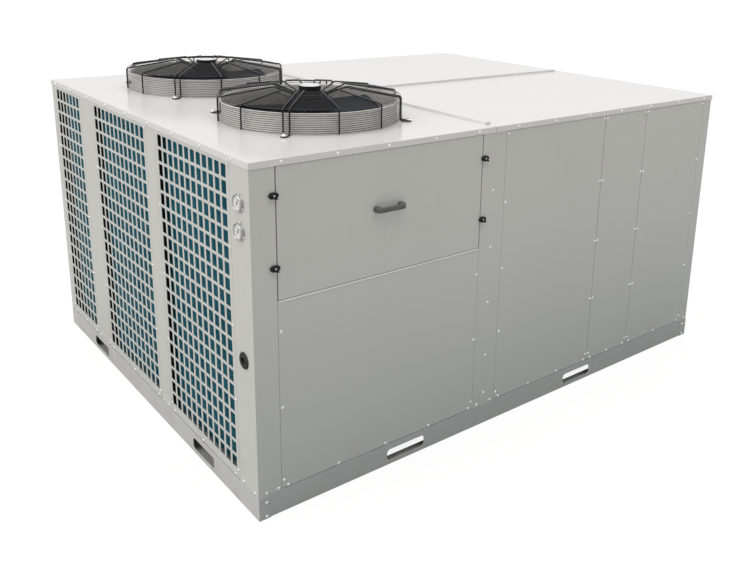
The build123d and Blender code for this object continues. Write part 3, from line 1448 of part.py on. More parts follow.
def build():
    """Write every node of the unit."""
    os.makedirs("parts", exist_ok=True)
    save("base_rails", long_rails() + end_rails())
    save("base_pan", base_pan())
    save("floor_joists", floor_joists())
    save("corner_posts", corner_posts())
    save("middle_posts", middle_posts())
    save("top_frame", top_frame())
    save("compressor_panel", [front_panel(FRONT_LEG, DOOR_END, top=DOOR_BOTTOM - SEAM / 2)])
    save("access_door", access_door())
    save("wide_front_panel", [front_panel(POST_END, WIDE_END)])
    save("narrow_front_panel", [front_panel(WIDE_END, NARROW_END)])
    save("end_front_panel", [front_panel(NARROW_END, LENGTH - END_LEG)])
    save("closing_panels", closing_panels())
    save("return_panel", return_panel())
    save("supply_panel", supply_panel())
    save("coil_guards", coil_guards())
    save("fan_deck", fan_deck())
    save("roof_sheets", roof_sheets())
    save("roof_ribs", roof_ribs())
    save("fan_nozzles", fan_nozzles())
    save("fan_guards", at_fans(fan_guard()))
    save("guard_bolts", guard_bolts())
    save("fan_motors", fan_motors())
    save("front_impeller", fan_impeller(FAN_YS[0]))
    save("rear_impeller", fan_impeller(FAN_YS[1]))
    for name, (distance, level) in latch_pivots().items():
        save(name, latch(distance, level))
    save("door_handle", door_handle())
    save("gauge_cases", gauge_cases())
    save("gauge_dials", gauge_dials())
    save("gauge_glasses", gauge_glasses())
    save("high_pressure_pointer", gauge_pointer(GAUGE_LEVELS[0]))
    save("low_pressure_pointer", gauge_pointer(GAUGE_LEVELS[1]))
    save("cable_grommet", cable_grommet())
    save("panel_screws", panel_screws())
    save("condenser_coil", condenser_coil())
    save("coil_pipework", coil_pipework())
    save("control_box", control_box())
    save("contactors", contactors())
    save("compressor_base", compressor_base())
    save("rubber_mounts", rubber_mounts())
    save("bottom_cap", bottom_cap())
    save("compressor_shell", compressor_shell())
    save("top_cap", top_cap())
    save("terminal_box", terminal_box())
    save("lower_bearing", lower_bearing())
    save("stator", stator())
    save("rotor", rotor())
    save("crankshaft", crankshaft())
    save("main_frame", main_frame())
    save("orbiting_scroll", orbiting_scroll())
    save("fixed_scroll", fixed_scroll())
    save("oldham_ring", oldham_ring())
    save("copper_pipes", copper_pipes())
    save("partitions", bulkhead() + blower_inlet())
    save("filters", filters())
    save("evaporator_coil", evaporator_coil())
    save("blower_wheel", blower_wheel())
    save("blower_motor", blower_motor())


build()
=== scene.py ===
"""Looks of a rooftop air conditioner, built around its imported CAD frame."""

import json
import logging
import math
from dataclasses import dataclass, field
from enum import Enum
from typing import Any, Iterable, Sequence

import bmesh
import bpy
from mathutils import Matrix, Vector

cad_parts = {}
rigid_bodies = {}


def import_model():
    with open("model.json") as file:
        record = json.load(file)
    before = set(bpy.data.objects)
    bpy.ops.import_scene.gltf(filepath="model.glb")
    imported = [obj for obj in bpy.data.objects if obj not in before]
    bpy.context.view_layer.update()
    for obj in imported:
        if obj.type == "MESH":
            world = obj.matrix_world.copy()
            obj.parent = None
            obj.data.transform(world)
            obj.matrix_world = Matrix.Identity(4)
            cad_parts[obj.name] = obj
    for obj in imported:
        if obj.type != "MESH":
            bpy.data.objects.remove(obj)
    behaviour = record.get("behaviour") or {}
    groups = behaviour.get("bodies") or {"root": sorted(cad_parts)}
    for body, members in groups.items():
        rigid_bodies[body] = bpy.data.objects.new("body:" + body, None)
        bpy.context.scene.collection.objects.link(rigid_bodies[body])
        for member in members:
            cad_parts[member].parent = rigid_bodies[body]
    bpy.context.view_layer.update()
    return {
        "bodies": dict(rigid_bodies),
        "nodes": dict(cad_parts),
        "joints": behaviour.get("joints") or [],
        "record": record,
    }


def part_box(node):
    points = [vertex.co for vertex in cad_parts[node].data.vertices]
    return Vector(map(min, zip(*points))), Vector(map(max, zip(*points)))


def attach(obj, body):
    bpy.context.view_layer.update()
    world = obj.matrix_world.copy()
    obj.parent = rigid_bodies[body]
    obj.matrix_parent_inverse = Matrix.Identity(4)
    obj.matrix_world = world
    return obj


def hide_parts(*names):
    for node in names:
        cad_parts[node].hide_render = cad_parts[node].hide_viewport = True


MM = 0.001
ZERO = (0.0, 0.0, 0.0)
log = logging.getLogger("rooftop_unit")

Mesh = bpy.types.Mesh
Item = bpy.types.Object
Socket = bpy.types.NodeSocket
Material = bpy.types.Material
Pair = tuple[float, float]
Point = tuple[float, float, float]
Colour = tuple[float, float, float]


class Wall(Enum):
    """The cabinet's four upright faces, each with its outward direction."""

    SERVICE = (0.0, -1.0, 0.0)
    COIL = (-1.0, 0.0, 0.0)
    REAR = (0.0, 1.0, 0.0)
    SUPPLY = (1.0, 0.0, 0.0)

    def frame(self, place: Sequence[float]) -> Matrix:
        """Frame on this wall: X to the right as one faces the wall, Y up, Z outwards.

        Args:
            place: The origin of the frame, in metres.

        Returns:
            The frame's matrix.
        """
        out = Vector(self.value)
        up = Vector((0.0, 0.0, 1.0))
        across = up.cross(out)
        turn = Matrix((across, up, out)).transposed().to_4x4()
        return Matrix.Translation(Vector(place)) @ turn

    def over(self, low: Vector, high: Vector, plane: float) -> Matrix:
        """Frame over the middle of a box, on a plane that is parallel to this wall."""
        place = (low + high) / 2
        place[0 if self.value[0] else 1] = plane
        return self.frame(place)


class Slot(Enum):
    """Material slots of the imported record."""

    CABINET = "cabinet_paint"
    ROOF = "roof_paint"
    RAIL = "rail_paint"
    GALVANISED = "galvanised_sheet"
    GUARD = "guard_wire"
    MOTOR = "motor_black"
    IMPELLER = "impeller_black"
    WHEEL = "wheel_sheet"
    ZINC = "zinc_steel"
    BLACK_PLASTIC = "black_plastic"
    HANDLE = "handle_plastic"
    GAUGE = "gauge_steel"
    DIAL = "dial_white"
    GLASS = "gauge_glass"
    INK = "pointer_black"
    RUBBER = "rubber"
    FINS = "coil_fins"
    COPPER = "copper"
    COMPRESSOR = "compressor_paint"
    IRON = "machined_iron"
    STEEL = "machined_steel"
    CORE = "motor_core"
    FILTER = "filter_media"


# Shader building


class Tone:
    """A value that varies over a surface. Arithmetic on it adds Math nodes."""

    def __init__(self, shade: "Shade", socket: Socket) -> None:
        """Wrap one output socket of a material's tree."""
        self.shade = shade
        self.socket = socket

    def _math(self, operation: str, first: Any, second: Any) -> "Tone":
        """One Math node on two values."""
        return self.shade.node("ShaderNodeMath", {"operation": operation}, {0: first, 1: second})

    def __add__(self, other: "Tone | float") -> "Tone":
        """Sum."""
        return self._math("ADD", self, other)

    __radd__ = __add__

    def __sub__(self, other: "Tone | float") -> "Tone":
        """Difference."""
        return self._math("SUBTRACT", self, other)

    def __rsub__(self, other: "Tone | float") -> "Tone":
        """Difference with the number first."""
        return self._math("SUBTRACT", other, self)

    def __mul__(self, other: "Tone | float") -> "Tone":
        """Product."""
        return self._math("MULTIPLY", self, other)

    __rmul__ = __mul__

    def step(self, low: float, high: float) -> "Tone":
        """Smooth change from 0 at a low level to 1 at a high one, held between them."""
        settings = {"interpolation_type": "SMOOTHSTEP"}
        return self.shade.node(
            "ShaderNodeMapRange", settings, {"Value": self, "From Min": low, "From Max": high},
        )


class Shade:
    """The node tree of one material, around one Principled shader."""

    def __init__(self, name: str) -> None:
        """Start an empty material.

        Args:
            name: Name of the material.
        """
        self.material = bpy.data.materials.new(name)
        self.material.use_nodes = True
        self.tree = self.material.node_tree
        self.tree.nodes.clear()
        self.surface = self.tree.nodes.new("ShaderNodeBsdfPrincipled")
        output = self.tree.nodes.new("ShaderNodeOutputMaterial")
        self.tree.links.new(self.surface.outputs[0], output.inputs["Surface"])

    def _feed(self, socket: Socket, value: Any) -> None:
        """Link a tone to a socket, or set a plain value on it."""
        if isinstance(value, Tone):
            self.tree.links.new(value.socket, socket)
        elif isinstance(value, tuple) and len(value) == 3 and socket.type == "RGBA":
            socket.default_value = (*value, 1.0)
        else:
            socket.default_value = value

    def node(
        self, kind: str, settings: dict[str, Any], values: dict[Any, Any], output: int | str = 0,
    ) -> Tone:
        """Add one node.

        Args:
            kind: The node's type.
            settings: Properties that are set before the sockets.
            values: Values or tones for input sockets, by name or number.
            output: The output to hand back.

        Returns:
            The chosen output.
        """
        made = self.tree.nodes.new(kind)
        for key, setting in settings.items():
            setattr(made, key, setting)
        for key, value in values.items():
            self._feed(made.inputs[key], value)
        return Tone(self, made.outputs[output])

    def place(self, stretch: Point = (1.0, 1.0, 1.0)) -> Tone:
        """Object coordinates in metres, stretched by a factor for each axis."""
        coords = self.node("ShaderNodeTexCoord", {}, {}, "Object")
        return self.node("ShaderNodeMapping", {}, {"Vector": coords, "Scale": stretch})

    def height(self) -> Tone:
        """Height above the floor, in metres."""
        return self.node("ShaderNodeSeparateXYZ", {}, {"Vector": self.place()}, "Z")

    def facing(self, axis: str) -> Tone:
        """How much the surface faces along the axis X, Y or Z, from -1 to 1."""
        normal = self.node("ShaderNodeNewGeometry", {}, {}, "Normal")
        return self.node("ShaderNodeSeparateXYZ", {}, {"Vector": normal}, axis)

    def noise(
        self, scale: float, detail: float = 3.0, stretch: Point = (1.0, 1.0, 1.0), rough: float = 0.55,
    ) -> Tone:
        """Cloudy noise around 0.5, with scale features per metre and detail octaves."""
        values = {"Vector": self.place(stretch), "Scale": scale, "Detail": detail, "Roughness": rough}
        return self.node("ShaderNodeTexNoise", {}, values)

    def cells(self, scale: float, output: str = "Distance", stretch: Point = (1.0, 1.0, 1.0)) -> Tone:
        """Cellular pattern with scale cells per metre: its Distance or its Color."""
        return self.node("ShaderNodeTexVoronoi", {}, {"Vector": self.place(stretch), "Scale": scale}, output)

    def mix(self, share: Tone | float, first: Tone | Colour, second: Tone | Colour) -> Tone:
        """Blend of two colours: a share of 0 gives the first, 1 the second."""
        settings = {"data_type": "RGBA", "clamp_factor": True}
        return self.node("ShaderNodeMix", settings, {0: share, 6: first, 7: second}, 2)

    def bump(self, height: Tone, distance: float, strength: float = 1.0, over: Tone | None = None) -> Tone:
        """Small relief.

        Args:
            height: The relief, from 0 to 1.
            distance: Its depth in metres.
            strength: Share of the relief that shows.
            over: A bump that this one adds to.

        Returns:
            The changed normal.
        """
        values: dict[Any, Any] = {"Height": height, "Distance": distance, "Strength": strength}
        if over is not None:
            values["Normal"] = over
        return self.node("ShaderNodeBump", {}, values)

    def glow_when_seen(self, share: float, strength: float) -> Material:
        """Blend the surface with a white glow that only the camera sees.

        Args:
            share: Share of the glow.
            strength: Its strength.

        Returns:
            The finished material.
        """
        seen = self.node("ShaderNodeLightPath", {}, {}, "Is Camera Ray")
        glow = self.node("ShaderNodeEmission", {}, {"Color": (1.0, 1.0, 1.0), "Strength": strength})
        both = self.node("ShaderNodeMixShader", {}, {0: seen * share})
        mix = both.socket.node
        self.tree.links.new(self.surface.outputs[0], mix.inputs[1])
        self.tree.links.new(glow.socket, mix.inputs[2])
        output = next(node for node in self.tree.nodes if node.type == "OUTPUT_MATERIAL")
        self.tree.links.new(mix.outputs[0], output.inputs["Surface"])
        return self.material

    def finish(self, **sockets: Any) -> Material:
        """Set the Principled shader's sockets.

        Args:
            **sockets: Values by socket name, with underscores for spaces.

        Returns:
            The finished material.
        """
        for name, value in sockets.items():
            self._feed(self.surface.inputs[name.replace("_", " ")], value)
        return self.material


# Finishes

SOIL_TINT = (0.70, 0.66, 0.60)
# Painted shade: the tint that darkens the lower cabinet, and its share on the faces other than the service
# side.
SHADE_TINT = (0.68, 0.72, 0.75)
WORN_TINT = (0.90, 0.90, 0.90)
OTHER_SIDES_SHADE = 0.15


def tinted(colour: Colour, factors: Colour) -> Colour:
    """A colour with each channel scaled by a factor."""
    return tuple(channel * factor for channel, factor in zip(colour, factors))


@dataclass(frozen=True)
class PowderCoat:
    """Powder-coated sheet: orange peel, faint waves, dust, rain marks and painted shade low on the service
    side.
    """

    name: str
    colour: Colour
    roughness: float = 0.42
    gloss: float = 0.15
    wave: float = 0.35
    dust: float = 0.5
    foot: float = 0.35
    # Painted shade: how strongly the lower part is darkened.
    painted_shade: float = 0.6

    def make(self) -> Material:
        """Build the material."""
        s = Shade(self.name)
        soil = tinted(self.colour, SOIL_TINT)
        cloud = s.noise(1.1, 4.0)
        streak = s.noise(1.0, 3.0, (46.0, 46.0, 1.3)).step(0.52, 0.78)
        # Painted shade: darker towards the bottom, most on the faces towards the service side.
        low = 1.0 - s.height().step(0.02, self.foot)
        service_side_shade = (0.0 - s.facing("Y")).step(0.3, 0.9) * (1.0 - OTHER_SIDES_SHADE) + OTHER_SIDES_SHADE
        painted_shade = (1.0 - s.height().step(-0.1, 1.25)) * service_side_shade * self.painted_shade
        grime = (low * s.noise(9.0, 5.0).step(0.38, 0.72) * 0.5 + streak * 0.10) * self.dust
        specks = (1.0 - s.cells(38.0).step(0.02, 0.05)) * s.noise(3.0).step(0.55, 0.7)
        paint = s.mix(cloud.step(0.3, 0.72) * 0.35, self.colour, tinted(self.colour, WORN_TINT))
        paint = s.mix(painted_shade, paint, tinted(self.colour, SHADE_TINT))
        paint = s.mix(grime, paint, soil)
        paint = s.mix(specks * 0.22 * self.dust, paint, soil)
        peel = s.bump(s.noise(420.0, 2.0), 0.00012, 0.6)
        sheet = s.bump(s.noise(1.7, 1.0), 0.004, self.wave, peel)
        rough = self.roughness + (cloud - 0.5) * 0.10 + grime * 0.35
        return s.finish(
            Base_Color=paint, Roughness=rough, Normal=sheet, Coat_Weight=self.gloss, Coat_Roughness=0.12,
        )


@dataclass(frozen=True)
class ZincSheet:
    """Galvanised sheet with spangles and white bloom."""

    name: str
    light: Colour = (0.60, 0.62, 0.63)
    dark: Colour = (0.38, 0.40, 0.42)
    scale: float = 70.0
    metallic: float = 0.85

    def make(self) -> Material:
        """Build the material."""
        s = Shade(self.name)
        spangle = s.node("ShaderNodeSeparateColor", {}, {"Color": s.cells(self.scale, "Color")}, 0)
        bloom = s.noise(7.0, 5.0).step(0.5, 0.75)
        metal = s.mix(spangle, self.dark, self.light)
        metal = s.mix(bloom * 0.45, metal, (0.66, 0.66, 0.64))
        relief = s.bump(s.noise(160.0, 3.0), 0.0001, 0.5)
        rough = 0.32 + spangle * 0.16 + bloom * 0.25
        return s.finish(
            Base_Color=metal, Metallic=self.metallic - bloom * 0.4, Roughness=rough, Normal=relief,
        )


@dataclass(frozen=True)
class Enamel:
    """Dark enamel on wire, motors and blades, with dust where it faces up and worn spots."""

    name: str
    colour: Colour
    roughness: float = 0.3
    worn: Colour = (0.10, 0.10, 0.10)
    dust: float = 0.25
    grain: float = 240.0
    shine: float = 0.5

    def make(self) -> Material:
        """Build the material."""
        s = Shade(self.name)
        settled = s.facing("Z").step(0.3, 1.0) * s.noise(14.0, 4.0).step(0.35, 0.75) * self.dust
        chips = s.noise(60.0, 4.0).step(0.62, 0.72) * 0.35
        paint = s.mix(chips, self.colour, self.worn)
        paint = s.mix(settled, paint, (0.20, 0.19, 0.17))
        relief = s.bump(s.noise(self.grain, 3.0), 0.00015, 0.6)
        rough = self.roughness + settled * 0.5 + (s.noise(22.0) - 0.5) * 0.12
        return s.finish(Base_Color=paint, Roughness=rough, Normal=relief, Specular_IOR_Level=self.shine)


@dataclass(frozen=True)
class Moulded:
    """Moulded plastic or rubber with a fine grain."""

    name: str
    colour: Colour
    roughness: float = 0.45
    grain: float = 700.0
    depth: float = 0.00012
    bloom: float = 0.15
    shine: float = 0.5

    def make(self) -> Material:
        """Build the material."""
        s = Shade(self.name)
        pale = tuple(channel * 1.8 + 0.02 for channel in self.colour)
        chalk = s.noise(40.0, 4.0).step(0.45, 0.8) * self.bloom
        skin = s.mix(chalk, self.colour, pale)
        grain = s.bump(s.noise(self.grain, 2.0), self.depth, 0.7)
        rough = self.roughness + chalk * 0.5 + (s.noise(9.0) - 0.5) * 0.1
        return s.finish(Base_Color=skin, Roughness=rough, Normal=grain, Specular_IOR_Level=self.shine)


@dataclass(frozen=True)
class BareMetal:
    """Bare metal: plated, polished, ground or cast, with stains."""

    name: str
    colour: Colour
    stain: Colour
    roughness: float = 0.25
    stained: float = 0.3
    grain: float = 300.0
    relief: float = 0.00008
    stretch: Point = (1.0, 1.0, 1.0)

    def make(self) -> Material:
        """Build the material."""
        s = Shade(self.name)
        patch = s.noise(18.0, 5.0).step(0.42, 0.74) * self.stained
        lines = s.noise(self.grain, 3.0, self.stretch)
        metal = s.mix(patch, self.colour, self.stain)
        rough = self.roughness + patch * 0.35 + (lines - 0.5) * 0.12
        relief = s.bump(lines, self.relief, 0.6)
        return s.finish(Base_Color=metal, Metallic=1.0 - patch * 0.4, Roughness=rough, Normal=relief)


@dataclass(frozen=True)
class FinStock:
    """Fins with a blue protective coat, paler along their crushed edges."""

    name: str
    colour: Colour = (0.016, 0.26, 0.37)
    pale: Colour = (0.07, 0.44, 0.56)

    def make(self) -> Material:
        """Build the material."""
        s = Shade(self.name)
        bands = s.noise(30.0, 3.0, (1.0, 3.0, 0.25))
        bruise = s.noise(8.0, 5.0).step(0.5, 0.8)
        coat = s.mix(bands.step(0.3, 0.7), self.colour, self.pale)
        coat = s.mix(bruise * 0.25, coat, (0.16, 0.34, 0.38))
        relief = s.bump(s.noise(260.0, 2.0, (1.0, 1.0, 0.3)), 0.0002, 0.5)
        return s.finish(Base_Color=coat, Metallic=0.15, Roughness=0.38 + bruise * 0.2, Normal=relief)


@dataclass(frozen=True)
class ClearPane:
    """Thin clear pane with faint smears."""

    name: str

    def make(self) -> Material:
        """Build the material."""
        s = Shade(self.name)
        smear = s.noise(120.0, 4.0).step(0.5, 0.8)
        return s.finish(
            Base_Color=s.mix(smear, (0.85, 0.90, 0.90), (0.70, 0.74, 0.74)),
            Alpha=0.05 + smear * 0.05,
            Roughness=0.10 + smear * 0.10,
            Specular_IOR_Level=0.25,
        )


@dataclass(frozen=True)
class Fleece:
    """Pleated filter fleece: fibres, folds, soot and painted shade in the folds."""

    name: str
    colour: Colour = (0.74, 0.75, 0.72)

    def make(self) -> Material:
        """Build the material."""
        s = Shade(self.name)
        fibres = s.noise(900.0, 4.0)
        pleats = s.node(
            "ShaderNodeTexWave", {"bands_direction": "Z", "wave_profile": "TRI"},
            {"Vector": s.place(), "Scale": 16.0, "Distortion": 0.3},
        )
        # Soot from noise, and painted shade that darkens the pleat valleys.
        soot_and_fold_shade = s.noise(4.0, 5.0).step(0.42, 0.8) * 0.5 + (1.0 - pleats) * 0.3
        cloth = s.mix(soot_and_fold_shade, self.colour, (0.38, 0.37, 0.34))
        folds = s.bump(pleats, 0.006, 0.8)
        return s.finish(Base_Color=cloth, Roughness=0.92, Normal=s.bump(fibres, 0.0004, 0.7, folds))


@dataclass(frozen=True)
class PrintedFace:
    """Smooth printed or enamelled face of one colour with slight yellowing."""

    name: str
    colour: Colour
    aged: Colour

    def make(self) -> Material:
        """Build the material."""
        s = Shade(self.name)
        age = s.noise(55.0, 4.0).step(0.4, 0.8) * 0.4
        relief = s.bump(s.noise(1500.0, 2.0), 0.00003, 0.5)
        return s.finish(
            Base_Color=s.mix(age, self.colour, self.aged), Roughness=0.4 + age * 0.3, Normal=relief,
        )


Finish = PowderCoat | ZincSheet | Enamel | Moulded | BareMetal | FinStock | ClearPane | Fleece | PrintedFace

SLOT_FINISHES: dict[Slot, Finish] = {
    # The cabinet's coat carries painted shade low on the service side.
    Slot.CABINET: PowderCoat("cabinet_powder_coat", (0.655, 0.660, 0.628), painted_shade=0.8),
    # Painted light: the roof's colour is lighter than the cabinet's same paint, standing in for the light from
    # above.
    Slot.ROOF: PowderCoat(
        "roof_coat_painted_lighter", (0.80, 0.80, 0.79), roughness=0.30, gloss=0.5, wave=0.25, dust=0.25,
    ),
    # The rail's coat carries strong painted shade low on the service side.
    Slot.RAIL: PowderCoat(
        "rail_powder_coat", (0.620, 0.620, 0.600), roughness=0.5, dust=0.6, foot=0.14, painted_shade=1.25,
    ),
    Slot.GALVANISED: ZincSheet("spangled_zinc"),
    Slot.GUARD: Enamel(
        "guard_black_coat", (0.006, 0.006, 0.008), 0.24, (0.03, 0.03, 0.03), dust=0.03, shine=0.4,
    ),
    Slot.MOTOR: Enamel("motor_black_enamel", (0.010, 0.010, 0.012), roughness=0.4, dust=0.1, shine=0.3),
    Slot.IMPELLER: Enamel(
        "impeller_dark_coat", (0.008, 0.012, 0.028), 0.34, (0.02, 0.03, 0.06), dust=0.04, shine=0.2,
    ),
    Slot.WHEEL: ZincSheet("blower_wheel_zinc", scale=95.0),
    Slot.ZINC: BareMetal(
        "zinc_plating", (0.86, 0.87, 0.87), (0.60, 0.58, 0.54), roughness=0.36, stained=0.15,
    ),
    Slot.BLACK_PLASTIC: Moulded(
        "black_moulding", (0.006, 0.006, 0.007), roughness=0.5, bloom=0.05, shine=0.35,
    ),
    Slot.HANDLE: Moulded("handle_moulding", (0.105, 0.107, 0.108), roughness=0.26, grain=900.0),
    Slot.GAUGE: BareMetal(
        "gauge_chrome", (0.50, 0.50, 0.51), (0.34, 0.33, 0.32), roughness=0.30, stained=0.12,
    ),
    Slot.DIAL: PrintedFace("dial_white_enamel", (0.86, 0.86, 0.84), (0.78, 0.76, 0.68)),
    Slot.GLASS: ClearPane("gauge_pane"),
    Slot.INK: PrintedFace("dial_black_ink", (0.015, 0.015, 0.016), (0.04, 0.04, 0.04)),
    Slot.RUBBER: Moulded("black_rubber", (0.014, 0.014, 0.014), roughness=0.62, grain=420.0, bloom=0.3),
    Slot.FINS: FinStock("blue_coated_fins"),
    Slot.COPPER: BareMetal(
        "copper_tube", (0.78, 0.40, 0.24), (0.30, 0.16, 0.10), roughness=0.3, stained=0.55,
    ),
    Slot.COMPRESSOR: Enamel("compressor_enamel", (0.020, 0.026, 0.036), roughness=0.33, dust=0.3),
    Slot.IRON: BareMetal(
        "machined_cast_iron", (0.42, 0.42, 0.42), (0.26, 0.22, 0.18), roughness=0.42, grain=140.0,
    ),
    Slot.STEEL: BareMetal("ground_steel", (0.62, 0.62, 0.63), (0.42, 0.38, 0.32), stretch=(1.0, 1.0, 22.0)),
    Slot.CORE: BareMetal(
        "core_laminations", (0.34, 0.32, 0.30), (0.24, 0.15, 0.10), roughness=0.45, stretch=(0.05, 0.05, 6.0),
    ),
    Slot.FILTER: Fleece("filter_fleece"),
}


# Mesh building


def placed(name: str, data: Any) -> Item:
    """A new object in the scene."""
    item = bpy.data.objects.new(name, data)
    bpy.context.scene.collection.objects.link(item)
    return item


def baked(carrier: Item) -> Mesh:
    """The plain mesh of a carrier object, which is removed."""
    depsgraph = bpy.context.evaluated_depsgraph_get()
    mesh = bpy.data.meshes.new_from_object(carrier.evaluated_get(depsgraph))
    bpy.data.objects.remove(carrier)
    return mesh


def poured(form: bmesh.types.BMesh, name: str) -> Mesh:
    """A mesh made from a bmesh, which is freed."""
    mesh = bpy.data.meshes.new(name)
    form.to_mesh(mesh)
    form.free()
    return mesh


class Recipe:
    """A Geometry Nodes tree with named inputs, run once into a plain mesh."""

    def __init__(self, name: str, inputs: dict[str, str]) -> None:
        """Start a tree.

        Args:
            name: Name of the tree.
            inputs: Kind of each named input, such as Float.
        """
        self.tree = bpy.data.node_groups.new(name, "GeometryNodeTree")
        interface = self.tree.interface
        interface.new_socket(name="Geometry", in_out="INPUT", socket_type="NodeSocketGeometry")
        for label, kind in inputs.items():
            interface.new_socket(name=label, in_out="INPUT", socket_type="NodeSocket" + kind)
        interface.new_socket(name="Geometry", in_out="OUTPUT", socket_type="NodeSocketGeometry")
        self.inlet = self.tree.nodes.new("NodeGroupInput")

    def size(self, label: str) -> Socket:
        """A named input of the tree."""
        return self.inlet.outputs[label]

    def step(
        self, kind: str, settings: dict[str, Any], values: dict[Any, Any], output: int | str = 0,
    ) -> Socket:
        """Add one node.

        Args:
            kind: The node's type.
            settings: Properties that are set before the sockets.
            values: Values or sockets for the inputs, by name or number.
            output: The output to hand back.

        Returns:
            The chosen output.
        """
        made = self.tree.nodes.new(kind)
        for key, setting in settings.items():
            setattr(made, key, setting)
        for key, value in values.items():
            if isinstance(value, Socket):
                self.tree.links.new(value, made.inputs[key])
            else:
                made.inputs[key].default_value = value
        return made.outputs[output]

    def scatter(self, points: Socket, shape: Socket, **more: Any) -> Socket:
        """Put a shape on each point; more is the Rotation or Scale of the copies."""
        values = {"Points": points, "Instance": shape, **more}
        return self.step("GeometryNodeInstanceOnPoints", {}, values, "Instances")

    def circle(self, steps: Any, radius: Any) -> Socket:
        """A circle as a curve."""
        values = {"Resolution": steps, "Radius": radius}
        return self.step("GeometryNodeCurvePrimitiveCircle", {"mode": "RADIUS"}, values)

    def math(self, operation: str, *values: Any) -> Socket:
        """One Math node."""
        return self.step("ShaderNodeMath", {"operation": operation}, dict(enumerate(values)))

    def close(self, geometry: Socket) -> None:
        """End the tree with real geometry."""
        real = self.step("GeometryNodeRealizeInstances", {}, {"Geometry": geometry})
        outlet = self.tree.nodes.new("NodeGroupOutput")
        self.tree.links.new(real, outlet.inputs["Geometry"])

    def run(self, source: Mesh, values: dict[str, Any]) -> Mesh:
        """Run the tree on a mesh.

        Args:
            source: The mesh that it starts from.
            values: Value of each named input.

        Returns:
            A plain mesh.
        """
        carrier = placed("carrier", source)
        modifier = carrier.modifiers.new("recipe", "NODES")
        modifier.node_group = self.tree
        for item in self.tree.interface.items_tree:
            if item.in_out == "INPUT" and item.name in values:
                modifier[item.identifier] = values[item.name]
        return baked(carrier)


def point_mesh(points: Sequence[Point], edges: Sequence[tuple[int, int]] = ()) -> Mesh:
    """A mesh of loose points, in metres, and edges between pairs of them."""
    mesh = bpy.data.meshes.new("points")
    mesh.from_pydata(points, edges, [])
    return mesh


def with_vectors(mesh: Mesh, name: str, vectors: Sequence[Sequence[float]]) -> Mesh:
    """Store one vector on each point of a mesh, under a name."""
    layer = mesh.attributes.new(name, "FLOAT_VECTOR", "POINT")
    for item, vector in zip(layer.data, vectors):
        item.vector = vector
    return mesh


def lathe(profile: Sequence[Pair], steps: int = 64, ring: bool = False) -> Mesh:
    """Turned solid around the Z axis.

    Args:
        profile: Radius and height of each point, in millimetres.
        steps: Faces around the axis.
        ring: True when the profile closes on itself, clear of the axis.

    Returns:
        The closed mesh, in metres.
    """
    form = bmesh.new()
    rows = []
    for radius, level in profile:
        if radius < 1e-6:
            rows.append([form.verts.new((0.0, 0.0, level * MM))])
            continue
        turns = (2 * math.pi * index / steps for index in range(steps))
        rows.append([
            form.verts.new((radius * MM * math.cos(turn), radius * MM * math.sin(turn), level * MM))
            for turn in turns
        ])
    pairs = list(zip(rows, rows[1:]))
    if ring:
        pairs.append((rows[-1], rows[0]))
    for low, high in pairs:
        for index in range(steps):
            after = (index + 1) % steps
            corners = [
                low[index % len(low)], low[after % len(low)],
                high[after % len(high)], high[index % len(high)],
            ]
            unique = list(dict.fromkeys(corners))
            if len(unique) > 2:
                form.faces.new(unique)
    return closed(form)


def prism(outline: Sequence[Pair], low: float, high: float, round_by: float = 0.0) -> Mesh:
    """Straight solid along Z with rounded edges.

    Args:
        outline: Corners of its section, in millimetres.
        low: Lower end, in millimetres.
        high: Upper end, in millimetres.
        round_by: Radius of its edges, in millimetres.

    Returns:
        The closed mesh, in metres.
    """
    form = bmesh.new()
    base = [form.verts.new((x * MM, y * MM, low * MM)) for x, y in outline]
    face = form.faces.new(base)
    lifted = bmesh.ops.extrude_face_region(form, geom=[face])["geom"]
    tops = [item for item in lifted if isinstance(item, bmesh.types.BMVert)]
    bmesh.ops.translate(form, verts=tops, vec=(0.0, 0.0, (high - low) * MM))
    bmesh.ops.recalc_face_normals(form, faces=form.faces)
    if round_by:
        sharp = [edge for edge in form.edges if edge.calc_face_angle(0.0) > math.radians(20)]
        bmesh.ops.bevel(form, geom=sharp, offset=round_by * MM, segments=3, profile=0.5, affect="EDGES")
    return closed(form)


def closed(form: bmesh.types.BMesh) -> Mesh:
    """Turn a bmesh into a mesh whose faces point outwards."""
    bmesh.ops.remove_doubles(form, verts=form.verts, dist=1e-7)
    bmesh.ops.recalc_face_normals(form, faces=form.faces)
    return poured(form, "form")


def ellipse(width: float, height: float, steps: int = 40, power: float = 2.2) -> list[Pair]:
    """Outline of a rounded oval.

    Args:
        width: Full width.
        height: Full height.
        steps: Number of corners.
        power: 2 for an ellipse, more for a squarer one.

    Returns:
        The corners.
    """
    corners = []
    for index in range(steps):
        turn = 2 * math.pi * index / steps
        across, up = math.cos(turn), math.sin(turn)
        corners.append((
            math.copysign(abs(across) ** (2 / power), across) * width / 2,
            math.copysign(abs(up) ** (2 / power), up) * height / 2,
        ))
    return corners


def merged(parts: Iterable[tuple[Mesh, Matrix]]) -> Mesh:
    """One mesh from several, each moved by its own matrix."""
    form = bmesh.new()
    for mesh, place in parts:
        copy = mesh.copy()
        copy.transform(place)
        form.from_mesh(copy)
        bpy.data.meshes.remove(copy)
    return poured(form, "merged")


